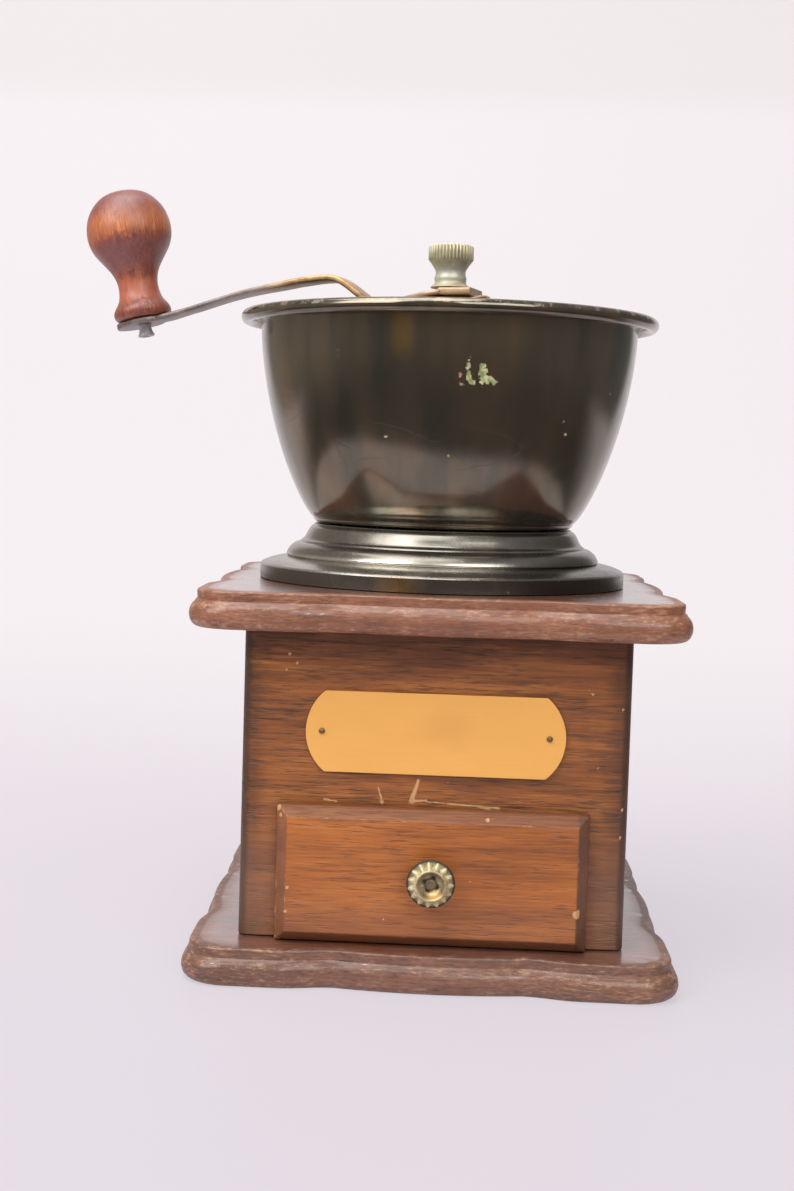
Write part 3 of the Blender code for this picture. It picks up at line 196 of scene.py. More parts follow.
def boolean(piece, bm, operation="DIFFERENCE"):
    tool = meshObject(piece.name + "Tool", bm)
    tool.matrix_world = piece.matrix_world
    cut = piece.modifiers.new("cut", "BOOLEAN")
    cut.operation = operation
    cut.solver = "EXACT"
    cut.object = tool
    bpy.context.view_layer.update()
    view = bpy.context.evaluated_depsgraph_get()
    made = bpy.data.meshes.new_from_object(piece.evaluated_get(view))
    piece.modifiers.remove(cut)
    piece.data = made
    bpy.data.objects.remove(tool)


# small helpers for shaders


def tint(red, green, blue):  # screen values from 0 to 255, as the linear colour that a shader takes
    channels = []
    for value in (red, green, blue):
        share = value / 255
        channels.append(share / 12.92 if share < 0.04 else ((share + 0.055) / 1.055) ** 2.4)
    return (*channels, 1.0)


class Wire:  # a shader socket that takes part in sums
    def __init__(self, shader, socket):
        self.shader = shader
        self.socket = socket

    def sum(self, operation, first, second):
        return self.shader.node("Math", {"operation": operation}, {0: first, 1: second})

    def __add__(self, other):
        return self.sum("ADD", self, other)

    def __sub__(self, other):
        return self.sum("SUBTRACT", self, other)

    def __rsub__(self, other):
        return self.sum("SUBTRACT", other, self)

    def __mul__(self, other):
        return self.sum("MULTIPLY", self, other)

    def __truediv__(self, other):
        return self.sum("DIVIDE", self, other)

    def __pow__(self, other):
        return self.sum("POWER", self, other)

    def __abs__(self):
        return self.shader.node("Math", {"operation": "ABSOLUTE"}, {0: self})

    def __or__(self, other):  # the larger of two masks
        return self.sum("MAXIMUM", self, other)

    __radd__ = __add__
    __rmul__ = __mul__


class Shader:  # a node tree, its object coordinates and the colour that its layers build up
    def __init__(self, tree, coordinates="Object"):
        self.tree = tree
        self.place = self.node("TexCoord", out=coordinates)
        apart = self.node("SeparateXYZ", sockets={0: self.place})
        self.x, self.y, self.z = (Wire(self, socket) for socket in apart.socket.node.outputs)
        self.colour = None

    def node(self, kind, settings=None, sockets=None, out=0):
        made = self.tree.nodes.new("ShaderNode" + kind)
        for key, value in (settings or {}).items():
            setattr(made, key, value)
        for key, value in (sockets or {}).items():
            self.feed(made.inputs[key], value)
        return Wire(self, made.outputs[out])

    def feed(self, socket, value):
        if isinstance(value, Wire):
            self.tree.links.new(value.socket, socket)
        else:
            socket.default_value = value

    def join(self, x, y, z):
        return self.node("CombineXYZ", sockets={0: x, 1: y, 2: z})

    def noise(self, scale, detail=2.0, roughness=0.5, place=None, distortion=0.0):
        sockets = {"Vector": place or self.place, "Scale": scale, "Detail": detail, "Roughness": roughness}
        return self.node("TexNoise", sockets=sockets | {"Distortion": distortion})

    def stretched(self, stretch, detail, roughness, scale=1.0, distortion=0.0):  # a noise drawn out along the axes
        drawn = self.join(self.x * stretch[0], self.y * stretch[1], self.z * stretch[2])
        return self.noise(scale, detail, roughness, drawn, distortion)

    def wander(self, size, scale, detail=3.0, roughness=0.6):  # moves the edge of a mask to and fro by half the size
        return (self.noise(scale, detail, roughness) - 0.5) * size

    def between(self, value, low, high):  # 0 at low, 1 at high, smooth between; low may be the larger one
        settings = {"interpolation_type": "SMOOTHSTEP"}
        return self.node("MapRange", settings, {0: value, 1: low, 2: high, 3: 0.0, 4: 1.0})

    def zone(self, value, low, high):  # the same with limits in millimetres
        return self.between(value, low * mm, high * mm)

    def blots(self, low, high, *noise):
        return self.between(self.noise(*noise), low, high)

    def clamp(self, value):
        return self.node("Clamp", sockets={0: value})

    def mix(self, share, first, second):
        return self.node("Mix", {"data_type": "RGBA"}, {0: share, 6: first, 7: second}, out=2)

    def stain(self, share, *colour):  # lays a colour over what is there
        self.colour = self.mix(share, self.colour, tint(*colour))

    def tones(self, value, colours, stops=(0.30, 0.52, 0.74)):
        made = self.node("ValToRGB", sockets={0: value})
        ramp = made.socket.node.color_ramp
        ramp.elements.new(0.5)
        for element, position, colour in zip(ramp.elements, stops, colours):
            element.position = position
            element.color = tint(*colour)
        return made

    def distance(self, x, y, z, place=None):  # from a point in millimetres
        point = (x * mm, y * mm, z * mm)
        return self.node("VectorMath", {"operation": "DISTANCE"}, {0: place or self.place, 1: point}, out="Value")

    def edgeWear(self):
        return self.node("Attribute", {"attribute_name": "edgeWear"}, out="Fac")

    def rubbed(self, edge, low, high, scale=260):  # worn patches where the edge mark and a noise are both strong
        patches = self.noise(scale, 4.0, 0.65)
        small = self.noise(scale * 5, 2.0, 0.6)
        return self.between(edge + (patches - 0.5) * 1.3 + (small - 0.5) * 0.5, low, high)

    def fleck(self, spots, size, ragged=1.0):  # small chips; each spot is x, y, z in millimetres and a size share
        wander = self.wander(size * ragged * mm, 700, 3.0, 0.7)
        found = None
        for x, y, z, share in spots:
            away = self.distance(x, y, z) + wander
            mask = self.between(away, size * share * mm, size * share * 0.8 * mm)
            found = found | mask if found else mask
        return found


class Finish(Shader):  # a material
    def __init__(self, name):
        self.material = bpy.data.materials.new(name)
        self.material.use_nodes = True
        self.surface = self.material.node_tree.nodes["Principled BSDF"]
        super().__init__(self.material.node_tree)

    def done(self, roughness, height=None, depth=0.2, metallic=0.0, **fixed):  # depth of the relief in millimetres
        self.feed(self.surface.inputs["Base Color"], self.colour)
        self.feed(self.surface.inputs["Roughness"], roughness)
        self.feed(self.surface.inputs["Metallic"], metallic)
        for key, value in fixed.items():
            self.surface.inputs[key.replace("_", " ")].default_value = value
        if height is not None:
            bump = self.node("Bump", sockets={"Strength": 0.6, "Distance": depth * mm, "Height": height})
            self.feed(self.surface.inputs["Normal"], bump)
        return self.material


# wood

# each wood's axes with the grain's own first, length and fineness of the bands, shares of streaks and pores, colours
woods = {
    "board": {
        "grain": "xyz", "run": 12, "bands": 150, "streaks": 0.5, "pores": 0.4,
        "tones": ((74, 38, 27), (116, 67, 47), (154, 102, 74)), "pore": (56, 29, 22),
    },
    "box": {
        "grain": "xyz", "run": 16, "bands": 150, "streaks": 0.5, "pores": 0.5,
        "tones": ((80, 42, 18), (136, 77, 29), (180, 112, 46)), "pore": (44, 22, 12),
    },
    "drawer": {
        "grain": "xyz", "run": 14, "bands": 120, "streaks": 0.45, "pores": 0.5,
        "tones": ((106, 56, 20), (160, 90, 32), (188, 116, 48)), "pore": (76, 38, 16),
    },
    "raw": {
        "grain": "yxz", "run": 12, "bands": 120, "streaks": 0.3, "pores": 0.4,
        "tones": ((132, 98, 64), (178, 142, 98), (200, 168, 124)), "pore": (112, 82, 54),
    },
    "handle": {
        "grain": "zxy", "run": 16, "bands": 260, "streaks": 0.55, "pores": 0.6,
        "tones": ((92, 38, 30), (142, 70, 51), (180, 104, 68)), "pore": (74, 28, 20),
    },
}


def sawnWood(name, look):  # a finish with the colour of a sawn board, and the height and fibre of its grain
    shader = Finish(name)
    along, *across = (getattr(shader, axis) for axis in look["grain"])

    def grain(run, fine, detail=3.0):
        return shader.noise(1.0, detail, 0.6, shader.join(along * run, across[0] * fine, across[1] * fine))

    cloud = grain(14, 60)
    bands = grain(look["run"], look["bands"], 4.0)
    fibre = grain(70, 1900)
    streak = shader.between(grain(42, 640) + (cloud - 0.5) * 0.7, 0.52, 0.70)
    pores = shader.between(grain(140, 1700, 2.0) + (cloud - 0.5) * 0.35, 0.54, 0.68)
    tone = bands * 0.62 + cloud * 0.22 + fibre * 0.42 - 0.14
    shader.colour = shader.tones(tone, look["tones"], (0.28, 0.50, 0.72))
    shader.stain(streak * look["streaks"], *look["tones"][0])
    shader.stain(pores * look["pores"], *look["pore"])
    return shader, fibre * 0.4 - pores * 0.8 - streak * 0.2, fibre


def boardWood(name, dusty):  # dusty is 1 for the base, with its greyer nosing, and 0 for the redder upper board
    shader, height, fibre = sawnWood(name, woods["board"])
    edge = shader.edgeWear()
    nosing = shader.between(edge, 0.05, 0.35)
    # pale mauve blots away from the nosing: a painted sheen, which also makes the varnish rougher there
    paintedSheen = shader.blots(0.40, 0.75, 38, 4.0, 0.6) * (1 - nosing)
    shader.stain(paintedSheen * 0.2, 158, 126, 118)
    mottle = shader.stretched((330, 330, 1300), 4.0, 0.68)  # level streaks all round
    patches = shader.noise(70, 3.0, 0.6)
    warm = shader.mix(dusty, tint(148, 96, 66), tint(108, 84, 68))
    shader.colour = shader.mix(nosing * 0.34, shader.colour, warm)
    crown = shader.between(edge, 0.42, 0.60) * 0.6 + 0.4
    shader.stain(shader.between(edge, 0.06, 0.0) * 0.45, 92, 68, 60)
    pale = shader.between(mottle + (patches - 0.5) * 0.5, 0.50, 0.72) * nosing * crown
    shader.stain(pale * (0.43 + 0.03 * dusty), 192, 155, 121)
    dark = shader.between(mottle + (patches - 0.5) * 0.4, 0.45, 0.30) * nosing
    shader.stain(dark * (0.52 + 0.18 * dusty), 54, 36, 31)
    blush = shader.stretched((260, 260, 640), 3.0, 0.6) + (patches - 0.5) * 0.4
    ruddy = shader.between(blush, 0.54, 0.70) * nosing
    shader.stain(ruddy * (0.22 - 0.08 * dusty), 148, 62, 28)
    shader.stain(shader.rubbed(edge, 0.84, 1.22, 420) * 0.5, 200, 160, 128)
    bareAndShine = shader.rubbed(edge, 1.16 - 0.06 * dusty, 1.32, 560)
    shader.stain(bareAndShine * 0.8, 208, 178, 136)
    rough = shader.clamp(0.32 + paintedSheen * 0.12 + nosing * 0.22 + bareAndShine * 0.2 + fibre * 0.08)
    shader.feed(shader.surface.inputs["Coat Weight"], 1 - nosing * 0.75)
    return shader.done(rough, height - bareAndShine * 0.8 + mottle * nosing * 0.6, Coat_Roughness=0.2, Coat_IOR=1.9)


def boxWood(name, grain, top, side=None):  # darker towards the upper edge and, on the front, towards the uprights
    shader, height, fibre = sawnWood(name, dict(woods["box"], grain=grain))
    ragged = shader.wander(0.012, 90)
    if side:
        shade = shader.between(abs(shader.x) + ragged, side - 9.5 * mm, side - 0.5 * mm)
        shade = shade | shader.between(shader.z + ragged, top - 12 * mm, top)
    else:
        shade = shader.between(shader.z + ragged, top - 7 * mm, top)
    shader.stain(shade * 0.60, 48, 25, 16)
    low = shader.zone(shader.z + ragged, 60, 15) * shader.zone(abs(shader.x), 40, 52)
    shader.stain(low * 0.5, 132, 96, 78)
    grime = shader.blots(0.50, 0.78, 60, 4.0, 0.65)
    shader.stain(grime * 0.35, 84, 48, 28)
    shader.stain(shader.blots(0.76, 0.78, 640, 2.0, 0.5) * 0.6, 192, 152, 112)
    return shader, height, shader.clamp(0.42 + fibre * 0.12 + grime * 0.10)


frontScratches = [  # start, end and the half width at both; x and z in millimetres on the cabinet's front
    ((-17.0, 59.5), (-15.6, 54.8), 0.18, 0.30), ((-15.9, 55.4), (-15.4, 54.5), 0.60, 0.45),
    ((-4.7, 62.4), (-6.8, 55.2), 0.35, 0.75), ((-7.2, 55.5), (-2.0, 56.0), 0.5, 0.25),
    ((-3.0, 55.6), (20.3, 54.4), 0.16, 0.30), ((13.0, 54.8), (17.4, 54.0), 0.30, 0.30),
    ((-33.5, 55.2), (-29.5, 54.6), 0.35, 0.20),
]
frontFlecks = [  # x, y, z in millimetres and a size share
    (-45.1, -59.4, 99.4, 0.35), (-42.9, -59.4, 96.7, 0.25), (-46.2, -59.4, 94.5, 0.28), (57.2, -58.8, 55.4, 0.35),
    (57.0, -58.8, 46.8, 0.32), (47.2, -59.4, 90.3, 0.35), (56.4, -58.8, 86.0, 0.3),
]
varnished = {"Coat_Weight": 0.2, "Coat_Roughness": 0.35}


def scratch(shader, start, end, first, last):  # a groove between two points of a front face, in millimetres
    run = Vector(end) - Vector(start)
    length = run.length
    fromX, fromZ = shader.x - start[0] * mm, shader.z - start[1] * mm
    along = fromX * (run.x / length) + fromZ * (run.y / length)
    across = fromZ * (run.x / length) - fromX * (run.y / length)
    width = shader.clamp(along / (length * mm)) * ((last - first) * mm) + first * mm
    wander = shader.wander(mm, 900, 3.0, 0.7)
    side = shader.zone(abs(across) + wander * 0.7 - width, 0.15, -0.15)
    begin = shader.zone(along + wander, -first, 0.3)
    finish = shader.zone(along + wander, length + last, length - 0.3)
    return side * begin * finish


def frontWood(side, top):
    shader, height, rough = boxWood("frontWood", "xyz", top, side)
    # painted shade on the rounded upright edges
    corner = shader.between(abs(shader.x), side - 3.2 * mm, side - 1.6 * mm)
    shader.stain(corner * 0.55, 44, 26, 19)
    marks = shader.fleck(frontFlecks, 1.6)
    for line in frontScratches:
        marks = marks | scratch(shader, *line)
    pale = marks * shader.zone(shader.y, -58.6, -59.0)
    shader.stain(pale * 0.8, 196, 156, 108)
    return shader.done(rough, height - pale * 0.8, **varnished)


def sideWood(name, grain, top):
    shader, height, rough = boxWood(name, grain, top)
    return shader.done(rough, height, **varnished)


drawerFlecks = [
    (44.3, -66.0, 24.3, 0.95), (-46.8, -62.6, 52.6, 0.7), (-45.8, -63.6, 50.8, 0.55), (16.5, -64.6, 51.6, 0.45),
    (-43.6, -66.0, 28.8, 0.35), (-44.0, -66.0, 21.4, 0.35), (12.0, -66.3, 33.2, 0.22), (-14.0, -66.0, 20.4, 0.25),
]


def drawerWood(low, high):
    shader, height, fibre = sawnWood("drawerWood", woods["drawer"])
    x, z = shader.x, shader.z
    middle = (low.z + high.z) / 2
    shader.stain(shader.between(z, middle, low.z + 4 * mm) * 0.32, 128, 88, 66)
    inset = high.x - abs(x)
    inset = inset.sum("MINIMUM", inset, (high.z - low.z) / 2 - abs(z - middle))
    shader.stain(shader.zone(inset, 3.9, 3.0) * 0.55, 92, 56, 38)
    # painted shade on the right bevel
    rightBevelShade = shader.between(x, high.x - 4.0 * mm, high.x - 3.0 * mm)
    shader.stain(rightBevelShade * 0.5, 64, 40, 30)
    # the pale line where the bevel meets the face is worn varnish and a painted highlight
    line = shader.zone(abs(inset - 3.3 * mm), 0.55, 0.15)  # where the bevel meets the face
    worn = shader.rubbed(line * 0.75, 0.82, 1.15, 170)
    onLeft = shader.between(x, low.x + 3.0 * mm, low.x + 1.4 * mm)
    onLeft = onLeft * shader.between(z, high.z - 2 * mm, low.z + 6 * mm)
    onLow = shader.between(z, low.z + 2.2 * mm, low.z + 0.6 * mm) * shader.between(x, 20 * mm, low.x)
    rim = shader.zone(inset, 1.0, 0.2) * 0.34 + onLeft * 0.46 + onLow * 0.34
    pale = (worn | shader.rubbed(rim, 0.76, 1.06, 150)) * 0.6 | shader.fleck(drawerFlecks, 1.6) * 0.8
    shader.stain(pale, 200, 156, 106)
    return shader.done(shader.clamp(0.40 + fibre * 0.10 + pale * 0.2), height - pale * 0.6, **varnished)


def rawWood():
    shader, height, fibre = sawnWood("rawWood", woods["raw"])
    shader.stain(shader.blots(0.45, 0.75, 45, 4.0, 0.6) * 0.4, 112, 82, 56)
    return shader.done(shader.clamp(0.66 + fibre * 0.15), height)


def handleWood():
    shader, height, fibre = sawnWood("handleWood", woods["handle"])
    z = shader.z
    fine = shader.stretched((1500, 1500, 90), 3.0, 0.6)
    ragged = shader.wander(0.005, 130) + (fine - 0.5) * 0.003
    # a painted highlight round the belly's widest band, where the grain's light and dark fibres also show more
    highlightBelt = shader.zone(z + ragged, 41, 34) * shader.zone(z + ragged, 26, 31)
    shader.stain(shader.between(fine, 0.50, 0.72) * (highlightBelt * 0.45 + 0.12), 226, 150, 84)
    shader.stain(shader.between(fine, 0.46, 0.30) * (highlightBelt * 0.3 + 0.12), 96, 42, 32)
    shader.stain(highlightBelt * 0.35, 206, 122, 66)
    # a painted mauve sheen over the top and the lower belly
    mauveSheen = shader.zone(z, 34, 43) * 0.9 + shader.zone(z + ragged, 30, 24) * shader.zone(z, 15, 19)
    shader.stain(shader.clamp(mauveSheen) * 0.55, 116, 72, 76)
    waist = shader.zone(z, 16, 12) * shader.zone(z, 5.5, 8)
    shader.stain(waist * 0.4, 200, 108, 76)
    worn = shader.rubbed(shader.edgeWear(), 0.95, 1.25, 180)
    shader.stain(worn * 0.5, 204, 140, 96)
    smudge = shader.blots(0.46, 0.70, 90, 3.0, 0.6)
    shader.stain(smudge * 0.3, 112, 66, 66)
    rough = shader.clamp(0.40 + smudge * 0.12 + worn * 0.15)
    return shader.done(rough, height, 0.12, Coat_Weight=0.5, Coat_Roughness=0.42)


# metals and paint


def hairlines(shader, scale, stretch, width=0.012):  # fine scratches, as the level lines of a stretched noise
    lines = shader.stretched(stretch, 2.0, 0.5, scale, 0.6)
    return shader.between(abs(lines - 0.5), width, 0.0)


def patinated(name, colours, scale, fineScale=None):  # a finish with cloudy colours, its cloud, its fine noise and tone
    shader = Finish(name)
    patina = shader.noise(scale, 5.0, 0.62)
    fine = shader.noise(fineScale or scale * 9, 3.0, 0.6)
    tone = patina * 0.8 + fine * 0.28 - 0.04
    shader.colour = shader.tones(tone, colours)
    return shader, patina, fine, tone


def metal(name, colours, rough, scale, metallic=1.0, depth=0.06, bands=(1.0, 1.0, 6.0)):
    shader, patina, fine, tone = patinated(name, colours, scale)
    lines = hairlines(shader, 55, bands)
    rough = shader.clamp(rough + (patina - 0.5) * 0.5 + fine * 0.10 - lines * 0.08)
    return shader.done(rough, fine * 0.7 - lines * 0.5 + patina * 0.6, depth, metallic)


bowlChips = [  # places where the paint is off down to the pale undercoat
    (6.6, -60.4, 191.0, 0.24), (6.4, -60.4, 189.9, 0.30), (6.1, -60.4, 188.7, 0.32), (6.0, -60.3, 187.5, 0.36),
    (6.3, -60.2, 186.2, 0.38), (6.6, -60.1, 184.8, 0.42), (7.6, -59.8, 183.4, 0.40), (10.5, -59.9, 188.2, 0.44),
    (10.8, -59.7, 186.4, 0.62), (11.2, -59.5, 184.8, 0.58), (12.6, -59.1, 184.3, 0.54), (10.6, -59.4, 183.3, 0.36),
    (14.0, -58.8, 183.6, 0.36), (3.7, -60.5, 185.5, 0.32), (4.4, -60.2, 182.6, 0.22), (-33.3, -51.6, 192.5, 0.16),
    (-33.3, -51.5, 190.9, 0.10), (-17.9, -53.3, 166.4, 0.13), (1.2, -54.5, 161.4, 0.10), (36.4, -45.4, 172.6, 0.12),
    (37.0, -43.4, 168.7, 0.14), (-25.9, -36.3, 145.1, 0.12), (-15.2, -43.4, 146.8, 0.13), (52.0, -31.0, 181.9, 0.14),
    (24.5, 53.0, 180.0, 0.3), (-46.0, 36.0, 176.0, 0.25), (-12.0, 59.0, 186.0, 0.35), (50.0, 26.0, 178.0, 0.2),
]


def bowlPaint():
    shader = Finish("bowlPaint")
    x, y, z = shader.x, shader.y, shader.z
    cloud = shader.noise(22, 4.0, 0.6)
    reflectionStripes = shader.stretched((95, 95, 9), 3.0, 0.55)  # upright streaks round the wall: painted reflections
    colours = ((94, 95, 85), (115, 107, 95), (134, 117, 99))
    shader.colour = shader.tones(cloud * 0.3 + reflectionStripes * 0.7, colours, (0.34, 0.50, 0.66))
    rub = shader.rubbed(shader.edgeWear(), 0.86, 1.25)
    shader.stain(rub * 0.52, 182, 168, 144)
    # a painted golden reflection high on the front of the wall
    goldenReflection = shader.distance(-13.5, -60, 99, shader.join(x, y, z * 0.5))
    shader.stain(shader.zone(goldenReflection + cloud * 0.006, 9, 4) * 0.45, 196, 154, 88)
    chips = shader.fleck(bowlChips, 2.6, 1.1)
    chipTone = shader.mix(shader.blots(0.35, 0.65, 620), tint(112, 130, 78), tint(188, 186, 138))
    chipTone = shader.mix(shader.zone(x, 5.2, 4.6) * shader.zone(x, 2, 3), chipTone, tint(150, 112, 90))
    shader.stain(shader.blots(0.735, 0.755, 330, 3.0, 0.55) * 0.6, 150, 128, 88)
    shader.colour = shader.mix(chips, shader.colour, chipTone)
    lines = hairlines(shader, 24, (1.0, 1.0, 2.6), 0.005)
    grease = shader.blots(0.40, 0.72, 34, 5.0, 0.7)
    rough = shader.clamp(0.12 + grease * 0.08 + chips * 0.45 + rub * 0.2 + lines * 0.06)
    metallic = shader.clamp(0.90 - chips * 0.9 - rub * 0.35)
    return shader.done(rough, cloud * 0.3 - chips * 0.9 - lines * 0.10, 0.10, metallic)


def footPaint(flangeTop):  # a painted dark reflection on the flange's face, a painted highlight on the slope above it
    shader = Finish("footPaint")
    x, y, z = shader.x, shader.y, shader.z
    cloud = shader.noise(30, 4.0, 0.6)
    colours = ((112, 108, 101), (130, 125, 117), (148, 140, 129))
    shader.colour = shader.tones(cloud, colours, (0.30, 0.52, 0.75))
    face = shader.between(z, flangeTop + 0.1 * mm, flangeTop - 0.5 * mm)
    # a painted highlight on the slope, left of the middle
    bareAndShine = shader.zone(x + cloud * 0.02, 42, 10) * shader.zone(x, -66, -34)
    slope = shader.between(z, flangeTop + 4.6 * mm, flangeTop + 3.4 * mm)
    shader.stain(bareAndShine * slope * 0.75, 208, 203, 194)
    # painted shade on the right side
    shader.stain(shader.zone(x, 14, 42) * 0.5, 84, 80, 74)
    # a painted dark reflection on the flange's face
    shader.stain(face * 0.78, 60, 52, 46)
    # a painted golden reflection on the flange's face
    goldenReflection = shader.distance(-13, -59.4, flangeTop * 0.3 / mm, shader.join(x, y, z * 0.3))
    shader.stain(shader.zone(goldenReflection, 10, 0) * face * 0.6, 168, 132, 84)
    # pale wear; along the flange's top edge it is also a painted highlight line
    rub = shader.rubbed(shader.edgeWear(), 0.95, 1.22)
    shader.stain(rub * 0.8, 206, 192, 160)
    shader.stain(shader.blots(0.72, 0.745, 360, 3.0, 0.55) * 0.6, 176, 156, 108)
    dust = shader.blots(0.46, 0.76, 70, 4.0, 0.7)
    rough = shader.clamp(0.25 + dust * 0.14 + rub * 0.1)
    return shader.done(rough, cloud * 0.4 + dust * 0.2, 0.10, 0.95)


def plateBrass(middle):
    shader = Finish("plateBrass")
    brushed = shader.stretched((60, 1, 2600), 3.0, 0.6)
    cloud = shader.noise(42, 3.0, 0.5)
    shader.colour = shader.tones(cloud * 0.5 + brushed * 0.5, ((242, 181, 97), (245, 184, 100), (248, 188, 104)))
    away = shader.distance(1.5, 0, middle / mm + 1.5, shader.join(shader.x * 0.55, 0, shader.z))
    shader.stain(shader.zone(away + shader.wander(0.004, 110, 3.0, 0.5), 8.5, 0) * 0.22, 200, 132, 74)
    tarnish = shader.between(shader.edgeWear() + shader.wander(0.7, 160, 3.0, 0.5), 0.55, 1.10)
    shader.stain(tarnish * 0.35, 186, 124, 62)
    return shader.done(shader.clamp(0.48 + (brushed - 0.5) * 0.2), brushed + cloud * 0.2, 0.03, 0.45)


def capMetal():  # the knurl's grooves hold dirt
    shader, patina, fine, tone = patinated("capBrass", ((156, 152, 128), (200, 194, 166), (228, 220, 190)), 130, 1100)
    z = shader.z
    shader.stain(shader.zone(z, 8.4, 6.5) * shader.zone(z, 1.6, 3) * 0.45, 176, 184, 182)
    shader.stain(shader.zone(z, 2.6, 1.4) * 0.5, 158, 154, 130)
    reach = (shader.x * shader.x + shader.y * shader.y) ** 0.5
    knurl = shader.zone(z, 8.9, 9.3) * shader.zone(z, 13.9, 13.6)
    groove = shader.zone(reach, 7.42, 7.15) * knurl
    crest = shader.zone(reach + (patina - 0.5) * 0.0008, 7.44, 7.54) * knurl
    shader.stain(groove * 0.6, 112, 100, 74)
    shader.stain(crest * 0.6, 226, 208, 156)
    rough = shader.clamp(0.42 + (patina - 0.5) * 0.4 + groove * 0.2)
    return shader.done(rough, fine * 0.7 + patina * 0.6, 0.06, 0.3)


def knobMetal(crown):  # crown: the height where the pale toothed face ends and the dark back begins
    shader, patina, fine, tone = patinated("knobBrass", ((142, 130, 96), (196, 184, 146), (230, 220, 190)), 190, 1500)
    x, y, z = shader.x, shader.y, shader.z
    reach = (x * x + y * y) ** 0.5
    inside = shader.zone(reach + (patina - 0.5) * 0.0012, 5.1, 4.1)
    dished = shader.tones(tone, ((98, 84, 66), (150, 132, 98), (204, 184, 146)))
    shader.colour = shader.mix(inside * 0.85, shader.colour, dished)
    shader.stain(shader.zone(reach + (fine - 0.5) * 0.002, 3.0, 1.0) * 0.5, 62, 54, 48)
    glint = shader.distance(0.7, -3.1, 0, shader.join(x * 0.6, y, 0)) + (fine - 0.5) * 0.0016
    shader.stain(shader.zone(glint, 2.0, 0.5) * 0.8, 238, 194, 130)
    back = shader.between(z, crown, crown - 0.35 * mm)
    shader.stain(back * 0.95, 40, 32, 28)
    rough = shader.clamp(0.40 + (patina - 0.5) * 0.4 + back * 0.3)
    return shader.done(rough, fine * 0.7 + patina * 0.6, 0.06, 0.3)


def armMetal():  # rusty at the hub, brassy over the bend, grey towards the handle
    shader, patina, fine, tone = patinated("armMetal", ((128, 96, 62), (186, 148, 102), (214, 178, 128)), 80)
    grey = shader.tones(tone, ((88, 80, 78), (138, 126, 122), (178, 164, 158)))
    rusty = shader.tones(tone, ((122, 96, 74), (178, 148, 120), (206, 180, 150)))
    shader.colour = shader.mix(shader.zone(shader.x, 30, 16), shader.colour, rusty)
    shader.colour = shader.mix(shader.zone(shader.x + (patina - 0.5) * 0.02, 50, 76), shader.colour, grey)
    rub = shader.rubbed(shader.edgeWear(), 0.85, 1.25, 200)
    shader.stain(rub * 0.6, 218, 192, 148)
    lines = hairlines(shader, 55, (1.0, 7.0, 7.0))
    rough = shader.clamp(0.42 + (patina - 0.5) * 0.4 - rub * 0.1)
    return shader.done(rough, fine * 0.7 - lines * 0.4 + patina * 0.5, 0.06, 0.6)


raw = rawWood()
nutBronze = metal("nutBronze", ((76, 58, 40), (128, 102, 70), (178, 148, 104)), 0.42, 140, 0.6)
greyIron = metal("greyIron", ((58, 56, 54), (92, 90, 88), (122, 120, 116)), 0.46, 110, 0.9, 0.12)
steelTones = ((112, 110, 106), (164, 162, 158), (196, 194, 190))
brightSteel = metal("brightSteel", steelTones, 0.30, 150, bands=(2.0, 2.0, 9.0))
pinSteel = metal("pinSteel", ((134, 132, 134), (176, 174, 176), (206, 204, 204)), 0.40, 170, 0.3)
armBronze = armMetal()
print("finishes of wood and metal are ready")


# boards and cabinet

boardShape = {  # shares of the half width for cusp and lobe, then millimetres; belly is a share of the depth
    "cusp": 0.3826, "lobe": 0.62, "depth": 2.8, "belly": 0.10, "corner": 12.5,
    "noseHeight": 8.1, "noseIn": 2.7, "ledgeIn": 2.25, "topRound": 0.7, "burrGap": 1.2,
}
panelShape = {"uprightRound": 3.0, "edgeRound": 0.35, "sideRound": 0.3, "trayRound": 0.4, "drawerGap": 1.0}


def boardOutline(half):  # four scalloped sides with round corners
    shape = boardShape
    cusp, lobe, corner = half * shape["cusp"], half * shape["lobe"], shape["corner"] * mm
    depth, belly = shape["depth"] * mm, shape["belly"]

    def inset(distance):
        if distance <= cusp:
            return depth * (belly + (1 - belly) * (distance / cusp) ** 2)
        if distance <= lobe:
            return depth * (1 + math.cos(math.pi * (distance - cusp) / (lobe - cusp))) / 2
        return 0.0

    halfSide = [cusp * step / 12 for step in range(13)] + [cusp + (lobe - cusp) * step / 9 for step in range(1, 10)]
    side = [-place for place in reversed(halfSide[1:])] + halfSide
    quarter = [(place, inset(abs(place)) - half) for place in side]
    quarter += arcLine((half - corner, corner - half), corner, corner, -90, 0, 9)
    return [Matrix.Rotation(turn * math.pi / 2, 2) @ Vector(point) for turn in range(4) for point in quarter]


def boardProfile(top):  # height, inset and wear, from the underside up: nosing, quirk, ledge and top face
    shape = boardShape
    nose, noseIn, ledge, turn = (shape[key] * mm for key in ("noseHeight", "noseIn", "ledgeIn", "topRound"))
    profile = []
    for inset, height in arcLine((noseIn, nose / 2), -noseIn, nose / 2, -90, 62, 12):
        profile.append((height, inset, 0.62 if abs(height - nose / 2) > nose * 0.22 else 0.42))
    profile += [(nose + 0.15 * mm, ledge - 0.5 * mm, 0.5), (nose + 0.45 * mm, ledge, 0.5)]
    profile.append((top - turn, ledge - 0.1 * mm, 0.40))
    for inset, height in arcLine((ledge - 0.1 * mm + turn, top - turn), -turn, turn, 20, 90, 4):
        profile.append((height, inset, 0.66))
    return profile + [(top, ledge + 3 * mm, 0.2), (top, ledge + 9 * mm, 0.0)]


def rounded(point):  # finds a point again by its coordinates
    return tuple(round(value, 7) for value in point)


